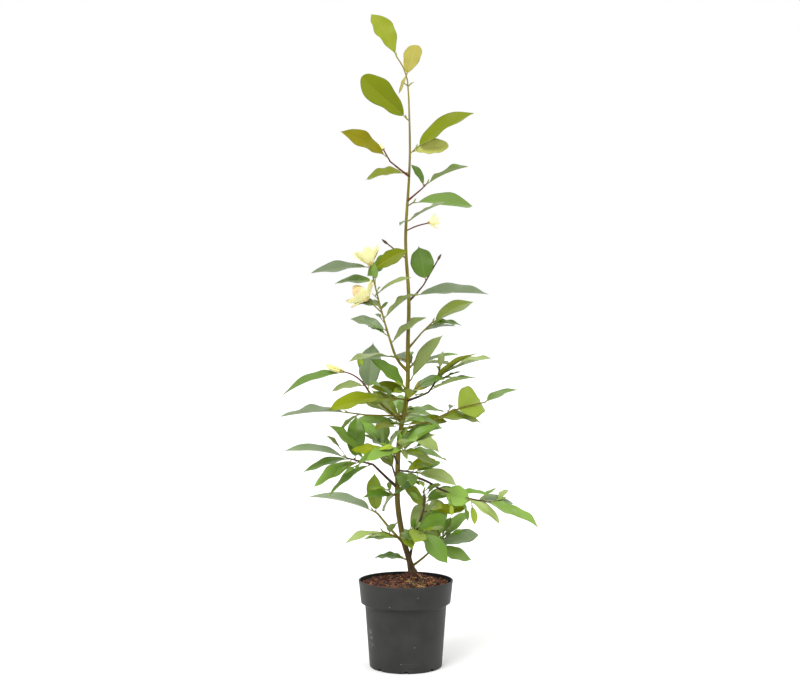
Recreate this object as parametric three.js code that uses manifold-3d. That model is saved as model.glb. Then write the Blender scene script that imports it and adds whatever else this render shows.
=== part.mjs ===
// A young evergreen magnolia in a nursery pot: pot, compost, trunk, boughs and sprigs of leaves.
// Millimetres, +Z up. X runs across the plant, Y runs away from its front, and the origin is the
// middle of the pot's flat underside. Headings are degrees round Z from +X, rises are above the level.
import * as THREE from 'three';
import { mergeVertices } from 'three/addons/utils/BufferGeometryUtils.js';
import Module from 'manifold-3d';

const wasm = await Module();
wasm.setup();

// Driving dimensions.
const GAP = 0.3; // air between pieces that touch in the real plant

const POT = {
  rimRadius: 85,
  height: 155,
  collarFoot: 115, // where the collar starts
  collarFootRadius: 80.5,
  neckHeight: 110, // where the body ends under the collar
  neckRadius: 73.2,
  footRadius: 65,
  footCorner: 3,
  wall: 2,
  lip: 3.2, // thickness of the rolled rim
  lipDepth: 3,
  drains: 8,
  drainWidth: 9,
  drainHeight: 4.5,
  facets: 36,
};

const COMPOST = {
  level: 150, // at the middle
  edgeLevel: 148,
  moundFoot: 34,
  moundTop: 10.5,
  moundHeight: 162.1,
};

const TRUNK = {
  foot: 162.4, // flat cut, on the compost
  radius: 5.3,
  tipRadius: 1.3,
  flare: 3.2,
  flareHeight: 8,
  sides: 8,
  steps: 24,
  // height, X, Y where the stem bends
  bends: [
    [162.4, 12.4, 34],
    [191, 4.7, 32],
    [220, -3.7, 29],
    [281, -14, 24],
    [318, -15, 20],
    [405, -12, 14],
    [483, 2, 9],
    [586, 4, 6],
    [658, 5.5, 6],
    [766, -0.3, 4],
    [874, 5.6, 2],
    [928, 7.4, 0],
    [1020, 5.2, -1],
    [1052, 3, 0],
  ],
};

const LEAF = {
  widthShare: 0.43, // of the length
  thickShare: 0.013,
  petioleShare: 0.1,
  petioleRadius: 0.85,
  fold: 16, // how far the halves rise from the midrib
  droop: 14, // how far the blade curls down from base to tip
  stations: [0.15, 0.38, 0.64, 0.87],
};

const BLOSSOM = {
  flower: { length: 38, radius: 19 },
  blossom: { length: 36, radius: 7.5 },
  small: { length: 20, radius: 13 },
  bud: { length: 15, radius: 4.4 },
};

const STEM = { radius: 1.8, tipRadius: 1.2, sides: 5, stride: 40 };

// How far a leaf keeps from limbs, from leaves of other sprigs and from leaves of its own.
const CLEAR = { limb: 2.6, others: 3.6, own: 2.4 };
const TURNS = [0, 10, -10, 20, -20, 32, -32, 45, -45];

// Boughs: where each leaves the trunk, which way it goes, its length and how it bends on the way.
const boughRows = [
  { name: 'bough_top_left', height: 880, heading: 206, rise: 31, reach: 45, bend: 4, radius: 1.9 },
  { name: 'bough_top_right', height: 836, heading: -36, rise: 29, reach: 37, bend: 6, radius: 1.8 },
  { name: 'bough_bud_right', height: 656, heading: 24, rise: 40, reach: 41, bend: 10, radius: 1.9 },
  { name: 'bough_long_left', height: 530, heading: 206, rise: 34, reach: 54, bend: 40, radius: 2.9 },
  { name: 'bough_upper_right', height: 570, heading: 36, rise: 42, reach: 42, bend: 2, radius: 2 },
  { name: 'bough_flower_left', height: 438, heading: 158, rise: 34, reach: 84, bend: 10, radius: 2.7 },
  { name: 'bough_thin_left', height: 449, heading: 216, rise: 2, reach: 81, bend: 2, radius: 1.9 },
  { name: 'bough_mid_right', height: 476, heading: -36, rise: 15, reach: 51, bend: 8, radius: 2.3 },
  { name: 'bough_right', height: 424, heading: 32, rise: 8, reach: 66, bend: 6, radius: 2.6 },
  { name: 'bough_low_left', height: 318, heading: 200, rise: 42, reach: 64, bend: 2, radius: 2.7 },
  { name: 'bough_low_right', height: 344, heading: -18, rise: -3, reach: 87, bend: -30, radius: 2.6 },
  { name: 'bough_foot_left', height: 214, heading: 158, rise: 42, reach: 75, bend: 6, radius: 2.6 },
  { name: 'bough_foot_right', height: 172, heading: 20, rise: 30, reach: 48, bend: 10, radius: 2.3 },
  { name: 'bough_basal', height: 184, heading: -54, rise: 74, reach: 92, bend: -16, radius: 2.4 },
  { name: 'bough_back', height: 396, heading: 84, rise: 30, reach: 60, bend: -6, radius: 2.4 },
  { name: 'bough_front', height: 362, heading: 262, rise: 24, reach: 54, bend: -4, radius: 2.4 },
];
const BOUGH = { tipShare: 0.72, sides: 6, stride: 26 };
const BEND_STEP = 14; // the most that a limb bends at one ring

// Sprigs, one mass of leaves each. from is a trunk height or the bough that the stem goes on from.
// leaves counts the nodes beside the end, twigs those of them that carry a side twig, and the nodes
// share the stem from bare to crowd. fan is the angle of a side leaf to its stem, roll turns the two
// ranks of leaves from level towards upright, first is 1 for a first leaf on the right or lower side
// and -1 on the other, ranks is 1 where the leaves all turn to that side, sag lets the side leaves
// hang, nod tips the end leaf, and face turns the blades to the front, with endFace for the end leaf
// where it differs. faceOn is the node whose leaf shows its whole face, longer and wider than the rest
// by faceLong and faceWide, and faceTurn degrees further from its stem.
const usual = {
  bend: 0, leaves: 0, twigs: 0, bare: 0.1, crowd: 1, fan: 55, roll: 20, side: 0.85, wide: 1, sag: 0, nod: -8,
  face: 28, tip: 'leaf', first: 1, ranks: 2, faceLong: 1, faceWide: 1, faceTurn: 0,
};
const sprigRows = [
  { name: 'sprig_crown', from: 'tip', heading: 180, rise: 78, reach: 48, bend: -26, leaf: 78, nod: -2,
    leaves: 1, bare: 0, crowd: 0.5, fan: 46, roll: 90, side: 0.78, wide: 1.3, face: 56, first: -1, seed: 4 },
  { name: 'sprig_upper_left', from: 978, heading: 204, rise: 41, reach: 8, leaf: 103, nod: -9, wide: 1.1,
    face: 84, seed: 2 },
  { name: 'sprig_upper_right', from: 920, heading: -26, rise: 39, reach: 16, leaf: 106, nod: -12, leaves: 1,
    fan: 46, roll: 78, side: 0.64, face: 56, seed: 3 },
  { name: 'sprig_top_left', from: 'bough_top_left', heading: 206, rise: 57, reach: 25, leaf: 98, leaves: 1,
    bare: 0, fan: 45, roll: 90, side: 1, face: 58, tip: 'bud', seed: 4 },
  { name: 'sprig_second_left', from: 886, heading: 146, rise: 5, reach: 12, leaf: 92, face: 44, seed: 5 },
  { name: 'sprig_top_right', from: 'bough_top_right', heading: -36, rise: 38, reach: 16, leaf: 83, nod: -20,
    leaves: 1, fan: 70, roll: 90, side: 0.5, face: 24, first: -1, seed: 6 },
  { name: 'sprig_second_right', from: 826, heading: 28, rise: 32, reach: 17, leaf: 120, nod: -32, face: 42,
    seed: 7 },
  { name: 'sprig_third_right', from: 798, heading: -34, rise: 22, reach: 12, leaf: 72, nod: -1, leaves: 1,
    fan: 90, side: 0.45, face: 10, seed: 8 },
  { name: 'sprig_blossom_right', from: 782, heading: 30, rise: 27, reach: 50, bend: -16, leaf: 60,
    tip: 'small', seed: 9 },
  { name: 'sprig_bud_right', from: 'bough_bud_right', heading: 24, rise: 52, reach: 55, bend: 12, leaf: 58,
    leaves: 1, bare: 0, crowd: 0.5, fan: 50, roll: 90, side: 1, faceOn: 0, faceWide: 1.5, tip: 'bud',
    first: -1, seed: 10 },
  { name: 'sprig_wavy_right', from: 666, heading: -18, rise: 2, reach: 12, leaf: 132, nod: -2, face: 16,
    seed: 11 },
  { name: 'sprig_third_left', from: 732, heading: 188, rise: 38, reach: 44, leaf: 80, leaves: 1, bare: 0,
    fan: 84, roll: 64, side: 1, wide: 1.15, face: 50, tip: 'bud', seed: 12 },
  { name: 'sprig_long_left', from: 'bough_long_left', heading: 186, rise: 72, reach: 152, bend: 6, leaf: 96,
    nod: -84, leaves: 6, bare: 0, crowd: 0.92, fan: 70, roll: 56, side: 0.74, face: 38, tip: 'flowers',
    bloomAt: 0.42, first: -1, seed: 13 },
  { name: 'sprig_edge_left', from: 549, heading: 214, rise: 14, reach: 18, leaf: 96, nod: -12, face: 8,
    seed: 14 },
  { name: 'sprig_front_left', from: 494, heading: 228, rise: 34, reach: 10, leaf: 76, nod: 0, face: 52,
    leaves: 1, fan: 60, seed: 15 },
  { name: 'sprig_flower_left', from: 'bough_flower_left', heading: 160, rise: 62, reach: 65, bend: -52,
    leaf: 138, nod: -32, leaves: 2, bare: 0, crowd: 0.34, fan: 54, roll: 84, side: 0.45, faceOn: 0,
    faceLong: 1.4, faceWide: 1.1, tip: 'blossom', first: -1, seed: 16 },
  { name: 'sprig_olive_left', from: 478, heading: 218, rise: 7, reach: 56, leaf: 105, nod: -16, leaves: 2,
    bare: 0, fan: 34, side: 0.77, face: 42, seed: 17 },
  { name: 'sprig_thin_left', from: 'bough_thin_left', heading: 200, rise: 8, reach: 36, leaf: 113, leaves: 1,
    fan: 70, side: 0.49, face: 8, seed: 18 },
  { name: 'sprig_low_left', from: 'bough_low_left', heading: 202, rise: 15, reach: 54, leaf: 101, nod: -2,
    leaves: 5, bare: 0, fan: 38, roll: 66, side: 0.82, faceOn: 3, faceTurn: 38, endFace: 4, seed: 19 },
  { name: 'sprig_inner_left', from: 326, heading: 150, rise: 70, reach: 82, leaf: 78, nod: -46, leaves: 6,
    bare: 0.3, fan: 62, roll: 50, face: 36, seed: 20 },
  { name: 'sprig_foot_left', from: 'bough_foot_left', heading: 158, rise: 28, reach: 11, leaf: 135, nod: -17,
    leaves: 1, bare: 0, fan: 64, roll: 90, side: 0.46, face: 14, faceOn: 0, first: -1, seed: 21 },
  { name: 'sprig_base_left', from: 222, heading: 216, rise: 23, reach: 51, leaf: 81, nod: -32, leaves: 2,
    fan: 48, side: 0.8, face: 20, seed: 22 },
  { name: 'sprig_dark_left', from: 304, heading: 214, rise: 10, reach: 12, leaf: 56, nod: -8, leaves: 2,
    bare: 0.5, fan: 80, side: 1, wide: 1.25, face: 44, seed: 23 },
  { name: 'sprig_ground_left', from: 184, heading: 150, rise: 10, reach: 12, leaf: 62, nod: -10, seed: 24 },
  { name: 'sprig_upper_right_mid', from: 'bough_upper_right', heading: 34, rise: 39, reach: 33, leaf: 92,
    nod: -18, leaves: 2, ranks: 1, fan: 34, roll: 84, side: 0.69, seed: 25 },
  { name: 'sprig_edge_right', from: 532, heading: 34, rise: 40, reach: 16, leaf: 88, nod: -40, face: 10,
    leaves: 2, bare: 0.5, fan: 60, first: -1, seed: 27 },
  { name: 'sprig_diagonal_right', from: 508, heading: -34, rise: 42, reach: 12, leaf: 96, nod: -2, face: 24,
    seed: 28 },
  { name: 'sprig_mid_right', from: 'bough_mid_right', heading: -30, rise: 47, reach: 51, bend: 30, leaf: 30,
    nod: 2, leaves: 3, ranks: 1, bare: 0, crowd: 0.9, fan: 40, roll: 84, side: 3.31, face: 14, seed: 29 },
  { name: 'sprig_cluster_right', from: 488, heading: -52, rise: 24, reach: 34, leaf: 64, leaves: 4,
    fan: 58, face: 48, seed: 30 },
  { name: 'sprig_narrow_right', from: 452, heading: 40, rise: 6, reach: 16, leaf: 78, nod: -4, leaves: 1,
    seed: 31 },
  { name: 'sprig_far_right', from: 'bough_right', heading: 30, rise: 24, reach: 125, bend: -18, leaf: 69,
    nod: 6, leaves: 2, bare: 0, crowd: 0.72, fan: 14, roll: 84, side: 1.36, sag: 22, faceOn: 1,
    faceLong: 0.7, faceWide: 2.3, seed: 32 },
  { name: 'sprig_front_cross', from: 434, heading: 240, rise: 4, reach: 14, leaf: 78, nod: -8, leaves: 2,
    fan: 62, first: -1, seed: 33 },
  { name: 'sprig_droop_right', from: 416, heading: -44, rise: 3, reach: 16, leaf: 78, nod: -20, leaves: 2,
    bare: 0.5, fan: 60, side: 0.79, seed: 34 },
  { name: 'sprig_low_edge_right', from: 384, heading: 34, rise: -2, reach: 16, leaf: 95, nod: -10, leaves: 2,
    bare: 0.5, fan: 60, side: 0.78, seed: 35 },
  { name: 'sprig_low_right', from: 'bough_low_right', heading: -12, rise: -20, reach: 100, bend: 16,
    leaf: 80, nod: -20, leaves: 5, bare: 0, fan: 22, roll: 40, side: 0.84, sag: 2, faceOn: 0, faceLong: 0.72,
    faceWide: 1.8, seed: 36 },
  { name: 'sprig_inner_right', from: 350, heading: -34, rise: 4, reach: 44, bend: -14, leaf: 68,
    leaves: 4, fan: 62, face: 34, seed: 37 },
  { name: 'sprig_basal', from: 'bough_basal', heading: 20, rise: 70, reach: 48, bend: 30, leaf: 66,
    leaves: 5, twigs: 1, fan: 60, roll: 60, face: 48, seed: 38 },
  { name: 'sprig_foot_right', from: 'bough_foot_right', heading: 22, rise: 44, reach: 38, leaf: 66,
    leaves: 7, bare: 0, fan: 68, roll: 60, side: 1.02, wide: 1.2, sag: -10, face: 60, first: -1, seed: 39 },
  { name: 'sprig_foot_inner', from: 240, heading: -38, rise: 2, reach: 50, leaf: 68, nod: -48, leaves: 5,
    fan: 60, wide: 1.4, face: 68, seed: 40 },
  { name: 'sprig_back', from: 'bough_back', heading: 96, rise: 24, reach: 72, leaf: 88, leaves: 7, twigs: 2,
    seed: 41 },
  { name: 'sprig_front', from: 'bough_front', heading: 284, rise: 20, reach: 58, leaf: 82, leaves: 6,
    twigs: 1, seed: 42 },
];
const FACE_ON = 82;
// The stalk of a flower that stands out from the side of its stem.
const STALK = { fan: 34, reach: 36, radius: 1.2 };
const BLOOM_AT_TIP = { bud: 'bud', small: 'small', blossom: 'blossom', flowers: 'flower' };
// A side twig's length as a share of its stem, and how far its end leaf hangs.
const TWIG = { share: 0.4, sag: 14, radius: 1.1, tipRadius: 0.8, sides: 3, stride: 30 };

// Materials.
const finish = (color, roughness) => new THREE.MeshStandardMaterial({ color, roughness, metalness: 0 });
const potFinish = finish('#3e3f3f', 0.55);
const compostFinish = finish('#5a3120', 0.95);
const barkFinish = finish('#4a3524', 0.85);
const twigFinish = finish('#5d5a2c', 0.7);
const leafFinishes = ['#6f8f2a', '#5d8a2c', '#82951f', '#4f7f2e'].map((color) => finish(color, 0.45));

// Solids from three.js geometries, and back.
function toSolid(geometry) {
  const bare = geometry.clone();
  bare.deleteAttribute('normal');
  bare.deleteAttribute('uv');
  const merged = mergeVertices(bare, 1e-4);
  return new wasm.Manifold(new wasm.Mesh({
    numProp: 3,
    vertProperties: new Float32Array(merged.attributes.position.array),
    triVerts: new Uint32Array(merged.index.array),
  }));
}

function toMesh(name, solid, material) {
  const { vertProperties, triVerts } = solid.getMesh();
  const geometry = new THREE.BufferGeometry();
  geometry.setAttribute('position', new THREE.BufferAttribute(vertProperties, 3));
  geometry.setIndex(new THREE.BufferAttribute(triVerts, 1));
  geometry.computeVertexNormals();
  const mesh = new THREE.Mesh(geometry, material);
  mesh.name = name;
  return mesh;
}

function indexedGeometry(points, triangles) {
  const geometry = new THREE.BufferGeometry();
  const places = points.flatMap(({ x, y, z }) => [x, y, z]);
  geometry.setAttribute('position', new THREE.Float32BufferAttribute(places, 3));
  geometry.setIndex(triangles);
  return geometry;
}

// A lathe about Z from a closed outline of [radius, height] pairs.
function turned(outline, facets) {
  const profile = outline.map(([radius, height]) => new THREE.Vector2(radius, height));
  return toSolid(new THREE.LatheGeometry(profile, facets).rotateX(Math.PI / 2));
}

// Directions and seeded numbers.
const rad = THREE.MathUtils.degToRad;
const deg = THREE.MathUtils.radToDeg;
const up = new THREE.Vector3(0, 0, 1);

function towards(heading, rise) {
  const level = new THREE.Vector3(Math.cos(rad(heading)), Math.sin(rad(heading)), 0);
  return level.multiplyScalar(Math.cos(rad(rise))).addScaledVector(up, Math.sin(rad(rise)));
}

// A direction tipped up by some degrees, and a straight shoot's row from its direction.
function tipped(direction, degrees) {
  return direction.clone().applyAxisAngle(direction.clone().cross(up).normalize(), rad(degrees));
}

function shootRow(direction, reach) {
  const heading = deg(Math.atan2(direction.y, direction.x));
  return { heading, rise: deg(Math.asin(direction.z)), reach, bend: 0 };
}

function seededNumbers(seed) {
  let state = (seed * 7919 + 12345) % 2147483647;
  return () => {
    state = (state * 48271) % 2147483647;
    return state / 2147483647;
  };
}

// Pot: a thin wall all round, with the collar stepped out and drain slots at the foot's corner.
function potOutline(inset) {
  const { footRadius, footCorner, neckRadius, neckHeight, collarFootRadius, collarFoot, rimRadius } = POT;
  return [
    [footRadius - footCorner - inset * 0.4, inset],
    [footRadius - inset, footCorner + inset * 0.6],
    [neckRadius - inset, neckHeight + inset * 0.4],
    [collarFootRadius - inset, collarFoot + inset * 0.4],
    [rimRadius - inset, POT.height],
  ];
}

function makePot() {
  const { rimRadius, height, wall, lip, lipDepth, footRadius, drains, drainWidth, drainHeight, facets } = POT;
  const outer = potOutline(0);
  const inner = potOutline(wall).slice(0, -1).reverse();
  const outline = [
    [0, 0],
    ...outer,
    [rimRadius - lip, height],
    [rimRadius - lip, height - lipDepth],
    [rimRadius - wall - 0.4, height - lipDepth - 1.5],
    ...inner,
    [0, wall],
  ];
  let pot = turned(outline, facets);
  for (let i = 0; i < drains; i += 1) {
    const slot = new THREE.BoxGeometry(16, drainWidth, drainHeight * 2);
    slot.translate(footRadius - 1, 0, 0);
    slot.rotateZ(-Math.PI / 2 + (i * Math.PI * 2) / drains);
    pot = pot.subtract(toSolid(slot));
  }
  return pot;
}

function makeCompost() {
  const { level, edgeLevel, moundFoot, moundTop, moundHeight } = COMPOST;
  const [, footX, footY] = TRUNK.bends[0];
  const outline = potOutline(POT.wall + GAP);
  const [edgeRadius] = outline.pop();
  const top = [[edgeRadius - 0.9, edgeLevel], [0, level]];
  const body = turned([[0, POT.wall + GAP], ...outline, ...top], POT.facets);
  const rise = moundHeight - edgeLevel;
  const mound = turned([
    [0, edgeLevel - 6],
    [moundFoot, edgeLevel - 6],
    [moundFoot, edgeLevel + rise * 0.12],
    [moundFoot * 0.72, edgeLevel + rise * 0.34],
    [moundFoot * 0.48, edgeLevel + rise * 0.78],
    [moundTop, moundHeight],
    [0, moundHeight],
  ], 20).translate([footX, footY, 0]);
  return body.add(mound);
}

// Limbs: a tube of rings along a path.
function limbSolid(path, radii, sides, across) {
  const points = [];
  const triangles = [];
  const last = path.length - 1;
  path.forEach((centre, i) => {
    const tangent = path[Math.min(i + 1, last)].clone().sub(path[Math.max(i - 1, 0)]).normalize();
    const first = across.clone().addScaledVector(tangent, -across.dot(tangent)).normalize();
    const second = tangent.clone().cross(first);
    for (let k = 0; k < sides; k += 1) {
      const angle = (k * Math.PI * 2) / sides;
      points.push(centre.clone()
        .addScaledVector(first, radii[i] * Math.cos(angle))
        .addScaledVector(second, radii[i] * Math.sin(angle)));
    }
  });
  for (let i = 0; i < last; i += 1) {
    for (let k = 0; k < sides; k += 1) {
      const a = i * sides + k;
      const b = i * sides + ((k + 1) % sides);
      triangles.push(a, b, a + sides, b, b + sides, a + sides);
    }
  }
  for (let k = 1; k < sides - 1; k += 1) {
    triangles.push(0, k + 1, k, last * sides, last * sides + k, last * sides + k + 1);
  }
  return toSolid(indexedGeometry(points, triangles));
}

// The point at a height on the trunk, on a smooth curve through its bends.
function trunkPoint(height) {
  const { bends } = TRUNK;
  let i = 0;
  while (i < bends.length - 2 && height > bends[i + 1][0]) {
    i += 1;
  }
  const share = (height - bends[i][0]) / (bends[i + 1][0] - bends[i][0]);
  const blend = (axis) => {
    const before = bends[Math.max(i - 1, 0)];
    const after = bends[Math.min(i + 2, bends.length - 1)];
    const span = bends[i + 1][0] - bends[i][0];
    const leave = ((bends[i + 1][axis] - before[axis]) / (bends[i + 1][0] - before[0])) * span;
    const arrive = ((after[axis] - bends[i][axis]) / (after[0] - bends[i][0])) * span;
    const s2 = share * share;
    const s3 = s2 * share;
    return (2 * s3 - 3 * s2 + 1) * bends[i][axis] + (s3 - 2 * s2 + share) * leave
      + (3 * s2 - 2 * s3) * bends[i + 1][axis] + (s3 - s2) * arrive;
  };
  return new THREE.Vector3(blend(1), blend(2), height);
}

const trunkTop = TRUNK.bends.at(-1)[0];

function trunkRadius(height) {
  const share = (height - TRUNK.foot) / (trunkTop - TRUNK.foot);
  const taper = TRUNK.tipRadius + (TRUNK.radius - TRUNK.tipRadius) * (1 - share) ** 0.9;
  return taper + TRUNK.flare * Math.exp(-Math.max(height - TRUNK.foot, 0) / TRUNK.flareHeight);
}

function makeTrunk(grow) {
  const heights = [-TRUNK.flareHeight, 3, 10, 20].map((rise) => TRUNK.foot + rise);
  const rest = trunkTop - heights.at(-1);
  for (let i = 1; i <= TRUNK.steps; i += 1) {
    heights.push(heights[3] + (rest * i) / TRUNK.steps);
  }
  const path = heights.map(trunkPoint);
  const radii = heights.map((height) => trunkRadius(height) + grow);
  path[path.length - 1].z += grow;
  const ground = new THREE.BoxGeometry(60, 60, 40).translate(path[0].x, path[0].y, TRUNK.foot - grow - 20);
  const solid = limbSolid(path, radii, TRUNK.sides, new THREE.Vector3(1, 0, 0)).subtract(toSolid(ground));
  return { path, radii, solid };
}

function limbPath(start, { heading, rise, reach, bend }, steps) {
  const path = [start.clone()];
  for (let i = 0; i < steps; i += 1) {
    const stride = towards(heading, rise + (bend * (i + 0.5)) / steps);
    path.push(path[i].clone().addScaledVector(stride, reach / steps));
  }
  return path;
}

function makeLimb(start, row, radius, tipRadius, { sides, stride }) {
  const steps = Math.max(1, Math.round(row.reach / stride), Math.ceil(Math.abs(row.bend) / BEND_STEP));
  const path = limbPath(start, row, steps);
  const across = towards(row.heading + 90, 0);
  const radii = path.map((_, i) => radius + ((tipRadius - radius) * i) / steps);
  return { path, radii, solid: limbSolid(path, radii, sides, across) };
}

// The same limb with a skin of air, which its neighbours are cut back to.
function airRound(limb, sides, across) {
  const path = limb.path.map((point) => point.clone());
  const last = path.length - 1;
  const end = path[last].clone().sub(path[last - 1]).normalize();
  path[last].addScaledVector(end, GAP);
  return limbSolid(path, limb.radii.map((radius) => radius + GAP * 1.15), sides, across);
}

// Leaves: a blade with a raised fold and a curl, thickest along its midrib, on a short stalk.
function bladeWidth(share) {
  return Math.sin(Math.PI * share ** 0.95) ** 0.68;
}

function bladePoint(leaf, share, across) {
  const curl = rad(LEAF.droop) * share;
  const full = rad(LEAF.droop);
  const half = 0.5 * leaf.width * bladeWidth(share) * across;
  const normal = leaf.normal.clone().applyAxisAngle(leaf.across, -curl);
  return leaf.base.clone()
    .addScaledVector(leaf.direction, (leaf.length * Math.sin(curl)) / full)
    .addScaledVector(leaf.normal, (leaf.length * (Math.cos(curl) - 1)) / full)
    .addScaledVector(leaf.across, half * Math.cos(rad(LEAF.fold)))
    .addScaledVector(normal, Math.abs(half) * Math.sin(rad(LEAF.fold)));
}

// Rings of four points, right, upper, left and lower, run from the stalk's root to the blade's tip.
function leafSolid(leaf) {
  const points = [];
  const ring = (right, left, middle, thick) => {
    points.push(right, middle.clone().addScaledVector(leaf.normal, thick));
    points.push(left, middle.clone().addScaledVector(leaf.normal, -thick));
  };
  for (const middle of [leaf.root, leaf.base]) {
    const reach = leaf.across.clone().multiplyScalar(LEAF.petioleRadius);
    ring(middle.clone().add(reach), middle.clone().sub(reach), middle, LEAF.petioleRadius);
  }
  for (const share of LEAF.stations) {
    const thick = (LEAF.thickShare * leaf.length) / 2;
    ring(bladePoint(leaf, share, 1), bladePoint(leaf, share, -1), bladePoint(leaf, share, 0), thick);
  }
  points.push(bladePoint(leaf, 1, 0));
  const tip = points.length - 1;
  const triangles = [0, 1, 2, 0, 2, 3];
  for (let k = 0; k < 4; k += 1) {
    const next = (k + 1) % 4;
    for (let a = 0; a < tip - 4; a += 4) {
      triangles.push(a + k, a + k + 4, a + next, a + next, a + k + 4, a + next + 4);
    }
    triangles.push(tip, tip - 4 + next, tip - 4 + k);
  }
  return toSolid(indexedGeometry(points, triangles));
}

// A leaf springs from root, its chord along direction, its blade rolled by face towards the front.
function makeLeaf(root, chord, { length, width, face }) {
  const direction = tipped(chord, LEAF.droop / 2);
  const outward = new THREE.Vector3(0, -Math.sin(rad(face)), Math.cos(rad(face)));
  const normal = outward.addScaledVector(direction, -outward.dot(direction)).normalize();
  const base = root.clone().addScaledVector(direction, LEAF.petioleShare * length);
  return {
    root, base, direction, normal, length, width, across: direction.clone().cross(normal),
  };
}

function leafSamples(leaf) {
  const samples = [];
  for (const share of [0.12, 0.24, 0.36, 0.48, 0.6, 0.72, 0.84, 0.93, 1]) {
    for (const across of [-0.9, -0.45, 0, 0.45, 0.9]) {
      samples.push({ point: bladePoint(leaf, share, across), share });
    }
  }
  return samples;
}

// Blossom: a closed goblet about the stem's end.
function blossomSolid({ start, direction, size: { length, radius } }) {
  const outline = [[0, 0], [0.5, 0.08], [0.92, 0.34], [1, 0.58], [0.66, 0.86], [0, 1]];
  const profile = outline.map(([across, high]) => new THREE.Vector2(across * radius, high * length));
  const goblet = new THREE.LatheGeometry(profile, 7);
  goblet.rotateX(Math.PI / 2);
  goblet.applyQuaternion(new THREE.Quaternion().setFromUnitVectors(up, direction));
  const foot = start.clone().addScaledVector(direction, -0.12 * length);
  goblet.translate(foot.x, foot.y, foot.z);
  return toSolid(goblet);
}

// Where each limb runs, as points with the radius to keep off.
const limbPoints = [];

function noteLimb(owner, { path, radii }) {
  for (let i = 0; i < path.length - 1; i += 1) {
    const parts = Math.ceil(path[i].distanceTo(path[i + 1]) / 5);
    for (let k = 0; k <= parts; k += 1) {
      limbPoints.push({ owner, point: path[i].clone().lerp(path[i + 1], k / parts), radius: radii[i] });
    }
  }
}

const bladePoints = [];

function isClear(owner, leaf) {
  const samples = leafSamples(leaf);
  const offLimbs = samples.every(({ point }) => limbPoints.every((limb) => (
    limb.owner === owner || limb.point.distanceTo(point) > limb.radius + CLEAR.limb)));
  return offLimbs && samples.every(({ point, share }) => bladePoints.every((blade) => {
    if (blade.owner === owner) {
      return share < 0.4 || blade.share < 0.4 || blade.point.distanceTo(point) > CLEAR.own;
    }
    return blade.point.distanceTo(point) > CLEAR.others;
  }));
}

// A leaf that would touch a limb or another leaf is turned up or down, and left out if that fails.
function placeLeaf(owner, root, chord, size) {
  for (const turn of TURNS) {
    const leaf = makeLeaf(root, tipped(chord, turn), size);
    if (isClear(owner, leaf)) {
      leafSamples(leaf).forEach((sample) => bladePoints.push({ owner, ...sample }));
      return [leaf];
    }
  }
  return [];
}

// The point at a share of a path, and the way the path runs there.
function along(path, share) {
  const at = Math.min(share, 0.999) * (path.length - 1);
  const i = Math.floor(at);
  return {
    point: path[i].clone().lerp(path[i + 1], at - i),
    forward: path[i + 1].clone().sub(path[i]).normalize(),
  };
}

// The growing rule: nodes alternate along the stem, each with a leaf or a side twig, and the stem
// ends in a leaf, a bud or a flower.
function growSprig(row, stem, random) {
  const jitter = (range) => (random() * 2 - 1) * range;
  const leaves = [];
  const twigs = [];
  const leafAt = (root, chord, fullLength, towardsFront = row.face, faced = false) => {
    const length = fullLength * (1 + jitter(0.1));
    const width = length * LEAF.widthShare * row.wide * (1 + jitter(0.1)) * (faced ? row.faceWide : 1);
    const face = faced ? FACE_ON : towardsFront + jitter(14);
    leaves.push(...placeLeaf(row.name, root, chord, { length, width, face }));
  };
  if (!['bud', 'small'].includes(row.tip)) {
    const { point, forward } = along(stem.path, 1 - 3 / row.reach);
    leafAt(point, tipped(forward, row.nod), row.leaf, row.endFace);
  }
  for (let i = 0; i < row.leaves; i += 1) {
    const share = row.bare + ((row.crowd - row.bare) * (i + 0.35)) / (row.leaves + 0.1);
    const { point, forward } = along(stem.path, share);
    const level = forward.clone().cross(up).normalize();
    const rank = level.applyAxisAngle(forward, rad(row.roll + jitter(14)));
    const side = i % row.ranks ? -row.first : row.first;
    const facing = i === row.faceOn;
    const fan = rad(row.fan + jitter(14) + (facing ? row.faceTurn : 0));
    const fanned = forward.clone().multiplyScalar(Math.cos(fan)).addScaledVector(rank, side * Math.sin(fan));
    const direction = tipped(fanned, -row.sag);
    if (i < row.twigs) {
      const shoot = shootRow(direction, row.reach * TWIG.share);
      const twig = makeLimb(point, shoot, TWIG.radius, TWIG.tipRadius, TWIG);
      twigs.push(twig);
      leafAt(along(twig.path, 0.9).point, tipped(direction, -TWIG.sag), row.leaf * row.side);
      const aside = direction.clone().applyAxisAngle(up, rad(row.fan * (i % 2 ? 1 : -1)));
      leafAt(along(twig.path, 0.5).point, aside, row.leaf * row.side * 0.9);
    } else {
      leafAt(point, direction, row.leaf * row.side * (facing ? row.faceLong : 1), row.face, facing);
    }
  }
  const blooms = [];
  const kind = BLOOM_AT_TIP[row.tip];
  if (kind) {
    const { forward } = along(stem.path, 1);
    blooms.push({ start: stem.path.at(-1), direction: forward, size: BLOSSOM[kind] });
  }
  if (row.bloomAt) {
    const { point, forward } = along(stem.path, row.bloomAt);
    const rank = forward.clone().cross(up).normalize().applyAxisAngle(forward, rad(row.roll));
    const direction = forward.applyAxisAngle(rank.cross(forward).negate(), rad(STALK.fan));
    const stalk = makeLimb(point, shootRow(direction, STALK.reach), STALK.radius, STALK.radius, TWIG);
    twigs.push(stalk);
    blooms.push({ start: stalk.path.at(-1), direction, size: BLOSSOM.flower });
  }
  return { leaves, twigs, blooms };
}

const trunk = makeTrunk(0);
const trunkAir = makeTrunk(GAP).solid;
noteLimb('trunk', trunk);

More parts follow.
